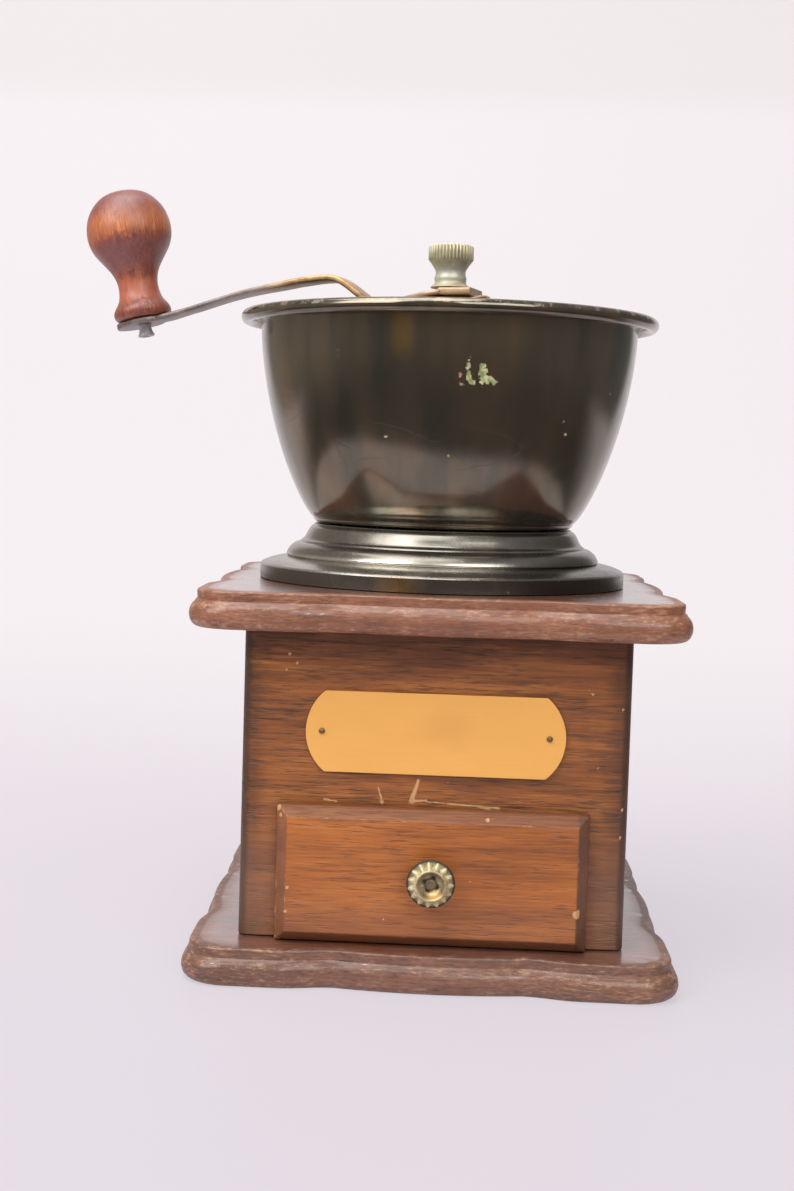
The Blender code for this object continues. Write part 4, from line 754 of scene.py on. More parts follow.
def board(name, material):
    low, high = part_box(name)
    half = high.x
    outline = boardOutline(half)
    rings, marks = [], {}
    for height, inset, mark in boardProfile(high.z - low.z):
        scale = (half - inset) / half
        rings.append([(point.x * scale, point.y * scale, low.z + height) for point in outline])
        for point in rings[-1]:  # the corners are worn more
            corner = max(0.0, (math.hypot(point[0], point[1]) / half - 1.02) * 0.9)
            marks[rounded(point)] = mark + (corner if mark > 0.3 else 0.0)
    return addPiece(
        name + "Turned", skin(rings), material, "mill", name, sharp=50,
        edge=lambda point: marks.get(rounded(point), 0.0),
    )


def boards():
    board("base_board", boardWood("baseWood", 1.0))
    top = board("top_board", boardWood("topWood", 0.0))
    low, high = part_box("top_board")
    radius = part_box("lower_bearing")[1].x + boardShape["burrGap"] * mm
    boolean(top, rod(radius, low.z - mm, high.z + mm, 48))


def roundUprights(bm, face, side):  # rounds the two outer upright edges of a panel
    upright = []
    for edge in bm.edges:
        first, second = (vertex.co for vertex in edge.verts)
        onFace = abs(first.y - face) < 1e-6 and abs(second.y - face) < 1e-6
        if onFace and abs(abs(first.x) - side) < 1e-6 and abs(first.x - second.x) < 1e-6:
            upright.append(edge)
    bmesh.ops.bevel(
        bm, geom=upright, offset=panelShape["uprightRound"] * mm, offset_type="OFFSET", segments=8, profile=0.5,
        affect="EDGES", clamp_overlap=True,
    )
    return bm


def panel(name, face, depth, outline, side, material):
    bm = extruded([(x, face, z) for x, z in outline], depth)
    piece = addPiece(name + "Panel", roundUprights(bm, face, side), material, "mill", name + "_panel")
    soften(piece, panelShape["edgeRound"])


def cabinetPanels():
    low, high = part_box("front_panel")
    backLow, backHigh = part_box("back_panel")
    gap = panelShape["drawerGap"] * mm
    openHalf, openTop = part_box("drawer_right_side")[1].x + gap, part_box("drawer_left_side")[1].z + gap
    outline = [(low.x, low.z), (low.x, high.z), (high.x, high.z), (high.x, low.z)]
    opening = [(openHalf, low.z), (openHalf, openTop), (-openHalf, openTop), (-openHalf, low.z)]
    panel("front", low.y, high.y - low.y, outline + opening, high.x, frontWood(high.x, high.z))
    panel("back", backHigh.y, backLow.y - backHigh.y, outline, high.x, sideWood("backWood", "xyz", high.z))
    material = sideWood("sideWood", "yxz", high.z)
    for side in ("left", "right"):
        plank(side + "_panel", "Board", material, "mill", panelShape["sideRound"])
    for side in ("left", "right"):
        plank("drawer_guide_" + side, "Strip", raw, "mill", panelShape["trayRound"])


boards()
cabinetPanels()
print("boards and cabinet are in place")


# drawer

drawerShape = {"edgeHeight": 3.0, "bevel": 3.3, "softness": 0.5}
# rows of radius, height as a share of the length, tooth and petal depth, from the face's middle to the foot
knobShape = {
    "teeth": 15, "toothDepth": 1.35, "toothPower": 0.8, "recessDepth": 0.45, "crown": 0.715,
    "rows": [
        (0.35, 0.80), (1.0, 0.80), (1.5, 0.77), (1.75, 0.70, 0, 0.2), (2.1, 0.72, 0, 0.9), (2.7, 0.74, 0, 1.0),
        (3.3, 0.78, 0, 0.9), (3.65, 0.84, 0, 0.3), (3.9, 0.92), (4.15, 0.985), (4.4, 1.0), (4.7, 0.985),
        (5.0, 0.95, 0.1), (5.3, 0.91, 0.35), (5.7, 0.875, 0.7), (6.3, 0.845, 0.95), (6.75, 0.81, 1.0),
        (6.95, 0.77, 1.0), (6.9, 0.73, 1.0), (6.3, 0.705, 0.6), (6.6, 0.69), (7.15, 0.665), (7.3, 0.635), (7.1, 0.60),
        (4.6, 0.57), (3.3, 0.50), (2.9, 0.40), (2.9, 0.28), (3.2, 0.16), (3.9, 0.07), (4.2, 0.03), (4.2, 0.0),
    ],
}


def toothedRings(shape, perTooth, unit, power=1.0):  # teeth round the rim and four petals in the face
    steps = shape["teeth"] * perTooth
    rings = []
    for row in shape["rows"]:
        radius, height, tooth, petal = (*row, 0, 0)[:4]
        ring = []
        for step in range(steps):
            angle = fullTurn * step / steps
            wave = (1 + math.cos(angle * shape["teeth"])) / 2
            reach = radius - tooth * shape["toothDepth"] * (1 - wave ** power)
            drop = petal * shape["recessDepth"] * abs(math.cos(2 * angle + math.pi / 4)) ** 1.5 if petal else 0
            ring.append(polar(reach * mm, angle, unit * height - drop * mm))
        rings.append(ring)
    return rings


def drawer():
    low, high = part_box("drawer_front")
    edge = high.y - drawerShape["edgeHeight"] * mm
    rings = []
    for y, inset in ((high.y, 0.0), (edge, 0.0), (low.y, drawerShape["bevel"] * mm)):
        left, right = low.x + inset, high.x - inset
        bottom, top = low.z + inset, high.z - inset
        rings.append([(left, y, bottom), (right, y, bottom), (right, y, top), (left, y, top)])
    front = addPiece("drawerFront", skin(rings), drawerWood(low, high), "drawer", "drawer_front")
    soften(front, drawerShape["softness"], 3, 20)
    for name in ("left_side", "right_side", "back", "bottom"):
        plank("drawer_" + name, "Board", raw, "drawer", panelShape["trayRound"])
    low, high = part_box("drawer_knob")
    centre, length = (low + high) / 2, high.y - low.y
    rings = toothedRings(knobShape, 10, length, knobShape["toothPower"])
    matrix = Matrix.Translation((centre.x, high.y, centre.z)) @ faceOut
    material = knobMetal(length * knobShape["crown"])
    addPiece("drawerKnob", skin(rings), material, "drawer", "drawer_knob", matrix, 40)


drawer()
print("drawer is in place")


# plate

plateShape = {
    "bulge": 5.9, "softness": 0.22, "rim": 1.2, "pinHead": 0.95, "pinRise": 0.75, "pinRadius": 0.8, "pinDepth": 6.0,
}


def namePlate():
    shape = plateShape
    low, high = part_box("name_plate")
    middle = (low.z + high.z) / 2
    rise, bulge = (high.z - low.z) / 2, shape["bulge"] * mm
    radius = (rise ** 2 + bulge ** 2) / (2 * bulge)
    sweep = math.asin(rise / radius)
    outline = []
    for side in (1, -1):
        for step in range(25):
            angle = side * (2 * sweep * step / 24 - sweep)
            x = side * (high.x - radius + radius * math.cos(angle))
            outline.append((x, high.y, middle + radius * math.sin(angle)))

    def edge(point):  # tarnish along the border only
        level = abs(abs(point.z - middle) - rise) < 0.1 * mm
        end = math.hypot(abs(point.x) - high.x + radius, point.z - middle) > radius - 0.3 * mm
        return 0.8 if level or end else 0.0

    bm = extruded(outline, low.y - high.y)
    face = min(bm.faces, key=lambda item: item.calc_center_median().y)
    bmesh.ops.inset_region(bm, faces=[face], thickness=shape["rim"] * mm)
    plate = addPiece("barePlate", bm, plateBrass(middle), "mill", "name_plate", edge=edge)
    soften(plate, shape["softness"])
    shank, depth = shape["pinRadius"], -shape["pinDepth"]
    profile = arcLine((0, 0), shape["pinHead"], shape["pinRise"], 90, 0, 6) + [(shank, 0), (shank, depth), (0, depth)]
    for name in ("plate_pin_left", "plate_pin_right"):
        pinLow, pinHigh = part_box(name)
        centre = (pinLow + pinHigh) / 2
        matrix = Matrix.Translation((centre.x, low.y - 0.1 * mm, centre.z)) @ faceOut
        addPiece(name + "Pin", turned(scaled(profile), 24), nutBronze, "mill", name, matrix)


namePlate()
print("plate is in place")


# bowl and foot

bowlShape = {
    "floorRadius": 41.2, "floor": 1.6, "lowRadius": 43.6, "highRadius": 62.6, "lowRise": 1.7, "wallHeight": 63.5,
    "wall": 1.4, "curveIn": 1.7, "curveOut": 0.8, "beadOut": 4.6, "beadUp": 2.5, "beadRadius": 2.2, "holeGap": 1.3,
    "curl": [(0.25, 1.0), (0.65, 1.9), (1.3, 2.3), (1.95, 2.2)],  # the hollow under the rolled rim
}
footShape = {  # radius and height of the outline's turns, from the flange's foot to the neck, and of the hollow
    "flange": [(61.0, 0.0), (61.0, 4.3)],
    "slope": [(60.4, 4.95), (57.5, 6.1), (52.5, 7.15), (51.9, 7.35)],
    "bead": [(51.9, 7.35), (52.35, 7.9), (51.7, 9.4), (50.6, 10.7), (49.2, 11.6), (47.8, 12.0)],
    "neck": [(47.8, 12.0), (47.4, 12.5), (46.5, 13.2), (45.9, 14.2), (45.2, 15.6), (44.3, 17.0), (43.0, 17.9)],
    "hollow": [(43.5, 10.0), (47.5, 8.6), (50.2, 5.0), (58.0, 3.0), (59.3, 0.0)],
    "flangeTop": 4.6, "topWall": 1.8, "topRadius": 43.0, "seat": 41.5,
}
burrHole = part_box("lower_bearing")[1].x / mm + bowlShape["holeGap"]


def bowlRadius(share):
    shape = bowlShape
    grown = (1 - (1 - share) ** shape["curveIn"]) ** shape["curveOut"]
    return shape["lowRadius"] + (shape["highRadius"] - shape["lowRadius"]) * grown


def bowl():
    shape = bowlShape
    low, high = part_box("bowl")
    bottom, wide = low.z / mm, shape["floorRadius"]
    wallLow = bottom + shape["lowRise"]
    wallHigh = wallLow + shape["wallHeight"]
    outer = [(burrHole, bottom), (wide, bottom)]
    outer += arcLine((wide, wallLow), bowlRadius(0) - wide, shape["lowRise"], -90, 0, 5)[1:-1]
    for step in range(41):
        share = (step / 40) ** 2
        outer.append((bowlRadius(share), wallLow + shape["wallHeight"] * share))
    bead = (shape["highRadius"] + shape["beadOut"], wallHigh + shape["beadUp"])
    outer += [(shape["highRadius"] + out, wallHigh + up) for out, up in shape["curl"]]
    outer += arcLine(bead, shape["beadRadius"], shape["beadRadius"], -172, 95, 24)
    lip = shape["highRadius"] - shape["wall"] + 1.6
    inner = arcLine((lip, high.z / mm - 1.65), -1.6, 1.6, 80, 0, 5)
    for step in range(24, -1, -1):
        share = (step / 24) ** 2
        inner.append((bowlRadius(share) - shape["wall"], wallLow + shape["wallHeight"] * share + 0.4))
    inner += [(wide - 0.5, bottom + shape["floor"]), (burrHole, bottom + shape["floor"])]

    def edge(point):  # the rolled rim is rubbed most on top, and the floor round its hole
        reach, height = math.hypot(point.x, point.y) / mm, point.z / mm
        if height > bead[1] - 2.3 and reach > shape["highRadius"] + 1.6:
            return 0.94 if height > bead[1] + 0.4 else 0.52
        return 0.45 if reach < burrHole + 2 else 0.0

    bm = turned(scaled(outer + inner), 128, True)
    addPiece("bowlShell", bm, bowlPaint(), "mill", "bowl", sharp=40, edge=edge)


def bowlFoot():
    shape = footShape
    low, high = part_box("bowl_foot")
    outer = list(shape["flange"])
    for part in ("slope", "bead", "neck"):
        outer += smoothLine(shape[part], 6)
    top, under = (high.z - low.z) / mm, (high.z - low.z) / mm - shape["topWall"]
    inner = [(shape["topRadius"], top), (burrHole, top), (burrHole, under), (shape["seat"], under)] + shape["hollow"]
    profile = [(radius * mm, low.z + height * mm) for radius, height in outer + inner]

    def edge(point):  # rubbed along the flange's edge, where it is also a painted highlight line, and at the foot of the bead
        reach, rise = math.hypot(point.x, point.y) / mm, (point.z - low.z) / mm
        if reach > 59.9 and 3.9 < rise < 5.3:
            return 0.80
        return 0.62 if 51.8 < reach < 52.6 else 0.0

    material = footPaint(low.z + shape["flangeTop"] * mm)
    bm = turned(profile, 128, True)
    addPiece("footShell", bm, material, "mill", "bowl_foot", sharp=38, edge=edge)


bowlFoot()
bowl()
print("bowl and foot are in place")


# burrs, bridge and spindle

burrShape = {  # radii of the ribbed walls at their foot, and how much they change up to the top
    "coarse": 6, "fine": 27, "steps": 216, "fineTurn": 2.2, "coarseTurn": 0.5, "chamfer": 0.4, "flange": 2.5,
    "ringHeight": 18, "ringFine": (17.0, -2.7), "ringCoarse": (15.2, 3.0), "ringRib": 1.3, "rib": 0.5,
    "coneHeight": 15, "coneFine": (15.55, -2.25), "coneCoarse": (12.6, -4.8), "coneRib": 2.2, "coneTop": 6.0,
}


def ribbed(radius, height, depth=0, ribs=1, turn=0):  # a ring with saw-shaped ribs; a negative depth cuts outwards
    ring = []
    steps = burrShape["steps"]
    for step in range(steps):
        phase = (step * ribs / steps + turn) % 1.0
        wave = 1 - phase / 0.78 if phase < 0.78 else (phase - 0.78) / 0.22
        ring.append(polar(radius - depth * (1 - wave), fullTurn * step / steps, height))
    return ring


def outerBurr():
    shape = burrShape
    low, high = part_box("outer_burr")
    flange, body, chamfer = high.x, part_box("lower_bearing")[1].x + 0.5 * mm, shape["chamfer"] * mm
    under, ringTop = high.z - shape["flange"] * mm, low.z + shape["ringHeight"] * mm
    rings = [ribbed(flange, high.z - chamfer), ribbed(flange, under), ribbed(body, under), ribbed(body, low.z)]
    for share in (step / 6 for step in range(7)):
        radius = (shape["ringFine"][0] + shape["ringFine"][1] * share) * mm
        height = low.z + (ringTop - low.z) * share
        rings.append(ribbed(radius, height, -shape["rib"] * mm, shape["fine"], shape["fineTurn"] * share))
    for share in (step / 6 for step in range(7)):
        radius = (shape["ringCoarse"][0] + shape["ringCoarse"][1] * share) * mm
        height = ringTop + chamfer + (high.z - ringTop - chamfer) * share
        rings.append(ribbed(radius, height, shape["ringRib"] * mm, shape["coarse"], shape["coarseTurn"] * share))
    rings.append(ribbed(flange - chamfer, high.z))
    addPiece("outerBurrRing", skin(rings, True), greyIron, "mill", "outer_burr", sharp=40)


def innerBurr():
    shape = burrShape
    low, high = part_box("inner_burr")
    neck, chamfer = low.z + shape["coneHeight"] * mm, shape["chamfer"] * mm
    rings = [ribbed(spindleBore, high.z), ribbed(shape["coneTop"] * mm, high.z)]
    for share in (1 - step / 7 for step in range(8)):
        radius = (shape["coneCoarse"][0] + shape["coneCoarse"][1] * share) * mm
        height = neck + chamfer + (high.z - chamfer - neck) * share
        depth = shape["coneRib"] * mm * (1 - 0.5 * share)
        rings.append(ribbed(radius, height, depth, shape["coarse"], shape["coarseTurn"] * share))
    for share in (1 - step / 6 for step in range(7)):
        radius = (shape["coneFine"][0] + shape["coneFine"][1] * share) * mm
        height = low.z + (neck - low.z) * share
        rings.append(ribbed(radius, height, shape["rib"] * mm, shape["fine"], -shape["fineTurn"] * share))
    rings.append(ribbed(spindleBore, low.z))
    addPiece("innerBurrCone", skin(rings, True), greyIron, "spindle", "inner_burr", sharp=40)


def strap(path, halfWidths, thicknesses, rounding):  # a bent strip; path of (run, height) along its upper face
    rings = []
    for index, (run, height) in enumerate(path):
        before, after = Vector(path[max(index - 1, 0)]), Vector(path[min(index + 1, len(path) - 1)])
        along = (after - before).normalized()
        down = Vector((along.y, -along.x))
        half, thick = halfWidths[index], thicknesses[index]
        corner = min(rounding * mm, thick * 0.45, half * 0.45)
        ring = []
        for side, level, start in ((-1, 0, 180), (1, 0, 90), (1, 1, 0), (-1, 1, 270)):
            centreAcross = side * (half - corner)
            centreDown = corner if level == 0 else thick - corner
            for step in range(4):
                angle = math.radians(start - 30 * step)
                across = centreAcross + corner * math.cos(angle)
                deep = centreDown - corner * math.sin(angle)
                ring.append((run + down.x * deep, across, height + down.y * deep))
        rings.append(ring)
    return skin(rings)


def evenStrap(path, halfWidth, thick, rounding):  # all in millimetres but the path
    return strap(path, [halfWidth * mm] * len(path), [thick * mm] * len(path), rounding)


def mirrored(left):
    return left + [(-run, rise) for run, rise in reversed(left)]


bridgeShape = {
    "span": (1.0, 0.80, 0.742, 0.722, 0.70, 0.68, 0.655, 0.58, 0.45, 0.28, 0.14),
    "rise": (0.0, 0.0, 0.012, 0.05, 0.20, 0.43, 0.70, 0.88, 0.965, 1.0, 1.0),
    "halfWidth": 6.0, "thick": 2.6, "nutGap": 2.9, "sleeve": 7.0, "springGap": 0.3,
    "chamferLow": 0.6, "chamferHigh": 0.5,
}


def bridge():
    low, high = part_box("bridge")
    shape = bridgeShape
    base = low.z + shape["thick"] * mm
    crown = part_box("adjusting_nut")[0].z - shape["nutGap"] * mm
    left = [(-high.x * wide, base + (crown - base) * tall) for wide, tall in zip(shape["span"], shape["rise"])]
    bm = evenStrap(smoothLine(mirrored(left), 4), shape["halfWidth"], shape["thick"], 0.7)
    yoke = addPiece("bridgeYoke", bm, greyIron, "mill", "bridge", sharp=45)
    foot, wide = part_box("spring")[1].z + shape["springGap"] * mm, shape["sleeve"] * mm
    inLow, inHigh = shape["chamferLow"] * mm, shape["chamferHigh"] * mm
    profile = [(0, foot), (wide - inLow, foot), (wide, foot + inLow), (wide, high.z - inHigh), (wide - inHigh, high.z)]
    boolean(yoke, turned(profile + [(0, high.z)], 64), "UNION")
    boolean(yoke, rod(spindleBore, foot - mm, high.z + mm, 48))


springShape = {"wire": 0.7, "turns": 8, "perTurn": 40, "sides": 12}


def spring():
    low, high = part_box("spring")
    wire, perTurn, sides = springShape["wire"] * mm, springShape["perTurn"], springShape["sides"]
    coil, length = high.x - wire, high.z - low.z
    count = springShape["turns"] * perTurn
    rings = []
    for index in range(count + 1):
        angle = fullTurn * index / perTurn
        height = low.z + wire + (length - 2 * wire) * index / count
        turns = [fullTurn * side / sides for side in range(sides)]
        rings.append([polar(coil + wire * math.cos(turn), angle, height + wire * math.sin(turn)) for turn in turns])
    piece = addPiece("springCoil", skin(rings), brightSteel, "spindle", "spring", crankTurn)
    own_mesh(piece)


nutShape = {  # the rim between two notches: share of a step, how deep, and how much of the chamfer it takes
    "radius": 14.5, "notches": 16, "chamfer": 0.4,
    "rim": [(0.0, 0, 1), (0.06, 0, 1), (0.12, 0, 1), (0.18, 0, 1), (0.24, 1.9, 0.3), (0.40, 1.9, 0.3), (0.60, 1.9, 0.3),
            (0.76, 1.9, 0.3), (0.82, 0, 1), (0.88, 0, 1), (0.94, 0, 1)],
}


def adjustingNut():
    low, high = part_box("adjusting_nut")
    shape = nutShape
    notches, chamfer = shape["notches"], shape["chamfer"]
    places = [  # angle, reach and share of the chamfer, all round
        (crankAngle + math.pi + (number - 0.5 + share) * fullTurn / notches, shape["radius"] - deep, part)
        for number in range(notches) for share, deep, part in shape["rim"]
    ]
    rings = []
    for inset, height in ((chamfer, high.z), (0, high.z - chamfer * mm), (0, low.z + chamfer * mm), (chamfer, low.z)):
        rings.append([polar((reach - inset * part) * mm, angle, height) for angle, reach, part in places])
    for height in (low.z, high.z):
        rings.append([polar(spindleBore, angle, height) for angle, reach, part in places])
    addPiece("adjustingNutDisc", skin(rings, True), nutBronze, "adjuster", "adjusting_nut", sharp=40)


stopperShape = {  # run, rise and half width along the plate, from the bent finger to the far edge
    "thick": 1.0, "stations": [
        (-14.0, -4.2, 1.0), (-14.0, -2.4, 1.0), (-14.0, -0.7, 1.0), (-13.65, 0.3, 1.1), (-12.8, 0.7, 1.3),
        (-11.0, 0.7, 1.7), (-9.9, 0.45, 2.6), (-9.2, 0.0, 3.4), (-5.0, 0.0, 5.25), (0.0, 0.0, 5.25), (4.0, 0.0, 5.1),
        (5.0, 0.0, 4.2),
    ],
}


def stopperPlate():
    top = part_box("stopper_plate")[1].z
    stations = stopperShape["stations"]
    path = [(run * mm, top + rise * mm) for run, rise, half in stations]
    thicknesses = [stopperShape["thick"] * mm] * len(path)
    bm = strap(path, [half * mm for run, rise, half in stations], thicknesses, 0.3)
    addPiece("stopperTab", bm, armBronze, "spindle", "stopper_plate", crankTurn, 45)


shaftShape = {"radius": 4.0, "collar": 7.5, "collarThick": 2.2, "square": 2.8, "gap": 0.3, "chamfer": 0.6}


def shaftAndWasher():
    low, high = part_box("shaft")
    shape = shaftShape
    gap, turn, edge = shape["gap"] * mm, shape["chamfer"] * mm, 0.3 * mm
    radius, collar, square = shape["radius"] * mm, shape["collar"] * mm, shape["square"] * mm
    top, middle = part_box("inner_burr")[0].z - gap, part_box("adjusting_nut")[1].z + gap
    foot = top - shape["collarThick"] * mm
    profile = [
        (0, low.z), (radius - turn, low.z), (radius, low.z + turn), (radius, foot), (collar - edge, foot),
        (collar, foot + edge), (collar, top - edge), (collar - edge, top), (radius, top), (radius, middle),
        (square, middle), (square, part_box("cap_nut")[0].z - turn), (square, high.z - turn), (square - turn, high.z),
        (0, high.z),
    ]
    addPiece("spindleShaft", turned(profile, 48), armBronze, "spindle", "shaft")
    low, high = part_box("spring_washer")
    inner, outer, turn = spindleBore, high.x, 0.25 * mm
    profile = [(inner, high.z), (outer - turn, high.z), (outer, high.z - turn), (outer, low.z + turn),
               (outer - turn, low.z), (inner, low.z)]
    addPiece("springWasherRing", turned(profile, 48, True), brightSteel, "spindle", "spring_washer")


bearingShape = {  # share of the half length, and how much of the drop: the ends lie level, the middle hangs lower
    "drop": 2.7, "halfWidth": 4.75, "thick": 2.4, "left": [(1, 0), (0.74, 0), (0.68, -0.3), (0.60, -2.4), (0.54, -2.7)],
}


def lowerBearing():
    low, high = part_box("lower_bearing")
    shape = bearingShape
    left = [(-high.x * share, high.z + rise * mm) for share, rise in shape["left"]]
    left.append((-4 * mm, high.z - shape["drop"] * mm))
    bm = evenStrap(mirrored(left), shape["halfWidth"], shape["thick"], 0.5)
    bar = addPiece("bearingBar", bm, greyIron, "mill", "lower_bearing", sharp=45)
    boolean(bar, rod(spindleBore, low.z - mm, high.z + mm, 48))


screwShape = {"slot": 0.4, "slotDepth": 0.8}


def screw(name, head, rise, shank, up, body="mill", flush=False):  # radii of head and shank, rise of the head
    low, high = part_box(name)
    axis = Vector(up)
    length = abs((high - low).dot(axis))
    head, rise, shank = head * mm, rise * mm, shank * mm
    if flush:
        profile = [(0, 0), (head, 0), (shank, -rise)]
    else:
        profile = arcLine((0, -rise), head, rise, 90, 0, 8) + [(shank, -rise)]
    profile += [(shank, shank - length), (0, -length)]
    turn = Vector((0, 0, 1)).rotation_difference(axis).to_matrix().to_4x4()
    matrix = Matrix.Translation((low + high) / 2 + axis * (length / 2)) @ turn
    piece = addPiece(name + "Screw", turned(profile, 32), brightSteel, body, name, matrix)
    slot = screwShape["slot"] * mm
    boolean(piece, block((-head - mm, -slot, -screwShape["slotDepth"] * mm), (head + mm, slot, mm)))


outerBurr()
innerBurr()
bridge()
lowerBearing()
shaftAndWasher()
spring()
adjustingNut()
stopperPlate()
for number in range(1, 5):
    screw(f"mill_screw_{number}", 3.2, 1.8, 1.6, (0, 0, 1))
    screw(f"base_screw_{number}", 3.3, 2.4, 1.6, (0, 0, -1), flush=True)
for side in ("left", "right"):
    screw(f"bearing_screw_{side}", 2.0, 1.3, 1.1, (0, 0, -1))
screw("drawer_knob_screw", 3.1, 1.7, 1.5, (0, 1, 0), "drawer")
print("burrs, bridge and spindle are in place")


# crank

armShape = {
    "runs": (
        -9.0, 0, 1.4, 1.9, 2.5, 3.2, 4.6, 7.0, 9.4, 12.2, 18.0, 23.0, 28.2, 30.0, 31.9, 33.7, 35.6, 37.4, 39.2, 41.1,
        42.5, 44.7, 48.4, 52.0, 55.7, 59.4, 63.1, 66.8, 70.6, 74.4, 78.1, 81.9, 85.7, 89.6, 93.4, 97.3, 104, 109,
        114.2, 119.4, 124.4,
    ),
    "rises": (
        0, 0, 0, -0.12, -0.62, -0.8, -1.05, -1.3, -1.7, -2.2, -3.5, -4.2, -2.75, -1.4, -0.05, 1.3, 2.57, 3.6, 4.4, 4.75,
        4.85, 4.78, 4.5, 4.0, 3.46, 2.8, 2.1, 1.45, 0.72, -0.1, -1.0, -2.0, -3.05, -4.2, -5.3, -6.3, -7.9, -8.89, -10,
        -11.1, -12.17,
    ),
    "thick": [  # run and thickness
        (-9, 2.5), (1.4, 2.45), (2.5, 1.75), (4.6, 1.6), (5.2, 1.7), (7, 1.95), (60, 1.95), (80, 1.6), (97, 1.6),
        (104, 1.95), (125, 1.95),
    ],
    "strip": 5.6, "hub": 7.5, "hubEnd": 14, "hubTaper": 7, "narrower": 1.5, "narrowFrom": 50, "narrowOver": 32,
    "eye": 7.5, "end": 10.2, "endShare": 0.74, "endFrom": 4.5, "nutGap": 0.3,
}


def stepped(stations, place):  # the value at a place between stations of (place, value)
    for (low, first), (high, last) in zip(stations, stations[1:]):
        if place <= high:
            return first + (last - first) * max(0.0, (place - low) / (high - low))


def crankArm():
    shape = armShape
    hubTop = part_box("cap_nut")[0].z - shape["nutGap"] * mm
    reach = handlePivot.to_2d().length / mm
    eye = shape["eye"]
    path, widths, thicknesses = [], [], []
    for run, rise in smoothLine(list(zip(shape["runs"], shape["rises"])), 4):
        wide = shape["strip"] + (shape["hub"] - shape["strip"]) * limited((shape["hubEnd"] - run) / shape["hubTaper"])
        wide -= shape["narrower"] * limited((run - shape["narrowFrom"]) / shape["narrowOver"])
        if run > reach - eye:
            wide = max(wide, math.sqrt(max(0.0, eye ** 2 - (run - reach) ** 2)))
        if run > reach + shape["endFrom"]:
            wide = math.sqrt(max(0.6, shape["end"] ** 2 - (run - reach) ** 2)) * shape["endShare"]
        path.append((run * mm, hubTop + rise * mm))
        widths.append(wide * mm)
        thicknesses.append(stepped(shape["thick"], run) * mm)

    def edge(point):  # rubbed over the bend and along both sides
        rub = 0.55 if 30 < point.x / mm < 66 else 0.22
        return rub + (0.35 if abs(point.y) / mm > shape["strip"] - 1.2 else 0.0)

    bm = strap(path, widths, thicknesses, 0.6)
    addPiece("crankStrip", bm, armBronze, "spindle", "crank_arm", crankTurn, 45, edge)


capShape = {  # rows of radius, height and how much of the knurl stands there, in millimetres from the nut's foot
    "teeth": 38, "toothDepth": 0.5,
    "rows": [
        (3.4, 14.5), (5.2, 14.44), (6.5, 14.26), (7.15, 13.95, 0.5), (7.55, 13.6, 1), (7.55, 11.4, 1), (7.55, 9.4, 1),
        (7.2, 8.95, 0.5), (6.6, 8.2), (5.8, 7.0), (5.2, 6.0), (5.0, 5.3), (5.05, 4.2), (5.3, 3.65), (5.42, 3.1),
        (5.3, 2.5), (5.2, 1.9), (5.55, 1.15), (6.3, 0.6), (6.6, 0.35), (6.6, 0.1), (6.45, 0), (3.1, 0), (3.1, 11),
    ],
}


def capNut():
    matrix = Matrix.Translation((0, 0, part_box("cap_nut")[0].z)) @ crankTurn
    rings = toothedRings(capShape, 6, mm)
    addPiece("capNutKnurled", skin(rings), capMetal(), "spindle", "cap_nut", matrix, 60)


handleShape = {  # radius and height along the handle, in millimetres
    "outline": [
        (8.8, 0.3), (9.75, 0.95), (10.25, 2.15), (10.1, 3.5), (9.35, 4.9), (8.2, 6.6), (7.45, 8.6), (7.1, 11.2),
        (7.2, 13.75), (7.85, 16.3), (9.0, 18.65), (10.55, 21.0), (12.3, 23.5), (13.75, 25.9), (14.65, 28.4),
        (15.05, 30.8), (15.0, 33.4), (14.5, 36.1), (13.6, 38.7), (12.25, 40.95), (10.4, 43.1), (8.0, 44.9),
        (4.9, 46.05), (1.6, 46.45), (0, 46.5),
    ],
    "bore": 2.7, "boreDepth": 34.0,
    "pin": [  # from the top down, with the spread and hollow tail under the arm
        (0, 33.0), (2.0, 33.0), (2.4, 32.6), (2.4, -2.2), (2.3, -2.2), (2.15, -3.1), (2.4, -4.4), (2.9, -5.4),
        (3.0, -5.75), (2.7, -6.0), (1.5, -6.0), (1.3, -5.0), (0, -4.9),
    ],
}


def handle():
    shape = handleShape
    bore, depth = shape["bore"], shape["boreDepth"]
    outline = [(max(radius, 0.0), height) for radius, height in smoothLine(shape["outline"], 4)]
    profile = scaled([(0, depth), (bore, depth), (bore, 0.3)] + outline)
    turn = Vector((0, 0, 1)).rotation_difference(handleAxis).to_matrix().to_4x4()
    matrix = Matrix.Translation(handlePivot) @ turn

    def edge(point):
        reach = math.hypot(point.x, point.y) / mm
        return 0.62 if point.z < 4.2 * mm and reach > 9.2 else 0.30 if reach > 13.8 else 0.1

    pin = turned(scaled(shape["pin"]), 48)
    addPiece("handlePinTube", pin, pinSteel, "spindle", "handle_pin", matrix, 40)
    addPiece("turnedHandle", turned(profile, 96), handleWood(), "handle", "handle", matrix, 50, edge)


crankArm()
capNut()
handle()
print("crank is in place")


# studio

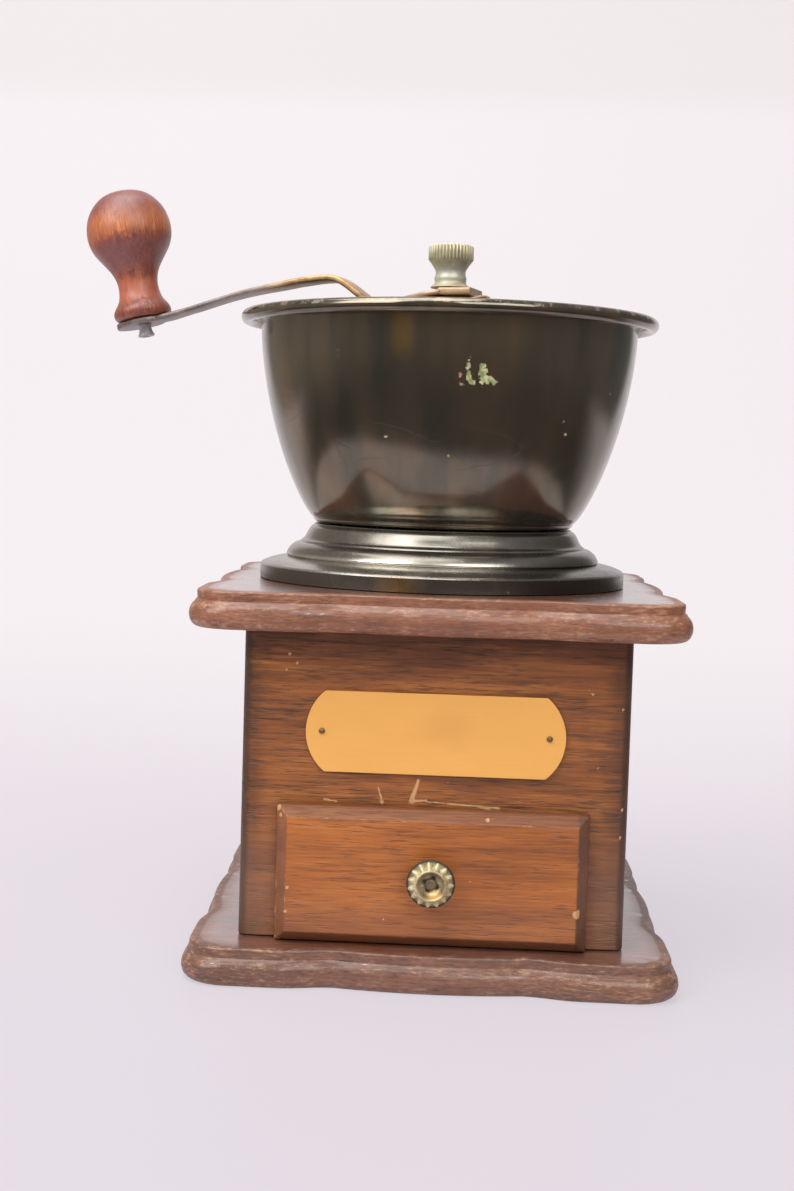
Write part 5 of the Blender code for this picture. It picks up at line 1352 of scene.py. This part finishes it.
studio = {
    "floor": tint(218, 211, 219), "wall": tint(243, 237, 240), "high": tint(238, 232, 233), "glow": 0.8,
    "sheet": (0.7, 0.245), "bend": (0.7, 0.6, 3.0),
    "front": (0.205, 0.18, 0.152, 1), "left": (0.42, 0.37, 0.325, 1), "right": (0.20, 0.19, 0.185, 1),
    "above": (0.36, 0.35, 0.34, 1), "below": (0.10, 0.085, 0.07, 1),
    "lamps": [  # name, place, target, size, power, colour
        ("windowLeft", (-1.2, -1.1, 1.3), (0, 0, 0.12), (1.2, 1.2), 24, (1.0, 0.98, 0.95)),
        ("softFront", (0.8, -1.6, 1.25), (0, 0, 0.12), (1.4, 1.0), 19, (1.0, 0.985, 0.97)),
        ("softTop", (-0.35, -0.3, 1.45), (-0.35, -0.25, 0.0), (1.1, 1.3), 19, (1, 1, 1)),
    ],
    "focal": 1664, "imageHeight": 1191, "imageWidth": 794, "principal": (356.2, 566.0), "sensor": 36,
    "stand": (0.7, -562.4, 159.6), "yaw": 3.0, "pitch": 3.71, "roll": 1.66,
}


def backdrop():  # a sheet of paper that bends up behind the mill
    start, radius, end = studio["bend"]
    line = [(-end, 0.0), (start, 0.0)]
    line += arcLine((start, radius), radius, radius, -81, 0, 9) + [(start + radius, end)]
    bm = bmesh.new()
    rows = [[bm.verts.new((side * 4.0, y, z)) for side in (-1, 1)] for y, z in line]
    for here, there in zip(rows, rows[1:]):
        bm.faces.new((here[0], here[1], there[1], there[0]))
    sweep = meshObject("sweep", bm, False)
    sweep.data.shade_smooth()
    shader = Finish("sweepPaper")
    x, y, z = shader.x, shader.y, shader.z
    paper = shader.mix(shader.between(z + y * 0.35, -0.08, 0.33), studio["floor"], studio["wall"])
    shader.colour = shader.mix(shader.between(z, 0.53, 0.58), paper, studio["high"])
    shader.done(0.4)
    glow = shader.node("Emission", sockets={"Color": shader.colour, "Strength": 1.0})
    rays = shader.node("LightPath").socket.node.outputs
    camera, glossy, through = (Wire(shader, rays[f"Is {kind} Ray"]) for kind in ("Camera", "Glossy", "Transmission"))
    lit = Wire(shader, shader.surface.outputs[0])
    paper = shader.node("MixShader", sockets={0: (camera | glossy | through) * studio["glow"], 1: lit, 2: glow})
    side, front = studio["sheet"]  # beyond the sheet of paper, reflections show the room
    ahead = shader.between((x * x * 0.61 + y * y) ** 0.5 + x * 0.1, front, front + 0.035)
    beyond = shader.between(abs(x), side, side + 0.3) | ahead * shader.between(y, 0.35, 0.05)
    both = shader.node("MixShader", sockets={0: beyond * glossy, 1: paper, 2: shader.node("BsdfTransparent")})
    shader.feed(shader.tree.nodes["Material Output"].inputs["Surface"], both)
    sweep.data.materials.append(shader.material)


def room():
    world = bpy.data.worlds.new("room")
    bpy.context.scene.world = world
    world.use_nodes = True
    sky = Shader(world.node_tree, "Generated")
    colour = sky.mix(sky.between(sky.x, -0.3, 0.3), studio["left"], studio["right"])
    colour = sky.mix(sky.between(sky.y, 0.0, -0.85), colour, studio["front"])
    colour = sky.mix(sky.between(sky.z, 0.25, 0.75), colour, studio["above"])
    colour = sky.mix(sky.between(sky.z, -0.05, -0.4), colour, studio["below"])
    rays = sky.node("LightPath").socket.node.outputs
    colour = sky.mix(Wire(sky, rays["Is Camera Ray"]), colour, studio["wall"])
    sky.feed(sky.tree.nodes["Background"].inputs["Color"], colour)


def lamp(name, place, target, size, power, colour):
    light = bpy.data.lights.new(name, "AREA")
    light.shape = "RECTANGLE"
    light.size, light.size_y = size
    light.energy = power
    light.color = colour
    holder = linked(name, light)
    holder.location = place
    holder.rotation_euler = (Vector(target) - Vector(place)).to_track_quat("-Z", "Y").to_euler()


def camera():
    lens = bpy.data.cameras.new("photoCamera")
    height = studio["imageHeight"]
    lens.sensor_width = studio["sensor"]
    lens.lens = studio["sensor"] * studio["focal"] / height
    lens.shift_x = (studio["imageWidth"] / 2 - studio["principal"][0]) / height
    lens.shift_y = (studio["principal"][1] - height / 2) / height
    lens.clip_start, lens.clip_end = 0.01, 20
    eye = linked("photoCamera", lens)
    turn = Matrix.Rotation(math.radians(studio["yaw"]), 4, "Z")
    tilt = Matrix.Rotation(math.radians(90 - studio["pitch"]), 4, "X")
    roll = Matrix.Rotation(math.radians(studio["roll"]), 4, "Z")
    eye.matrix_world = Matrix.Translation(Vector(studio["stand"]) * mm) @ turn @ tilt @ roll
    bpy.context.scene.camera = eye


backdrop()
room()
for settings in studio["lamps"]:
    lamp(*settings)
camera()
bpy.context.scene.view_settings.view_transform = "Standard"
print("studio is ready")
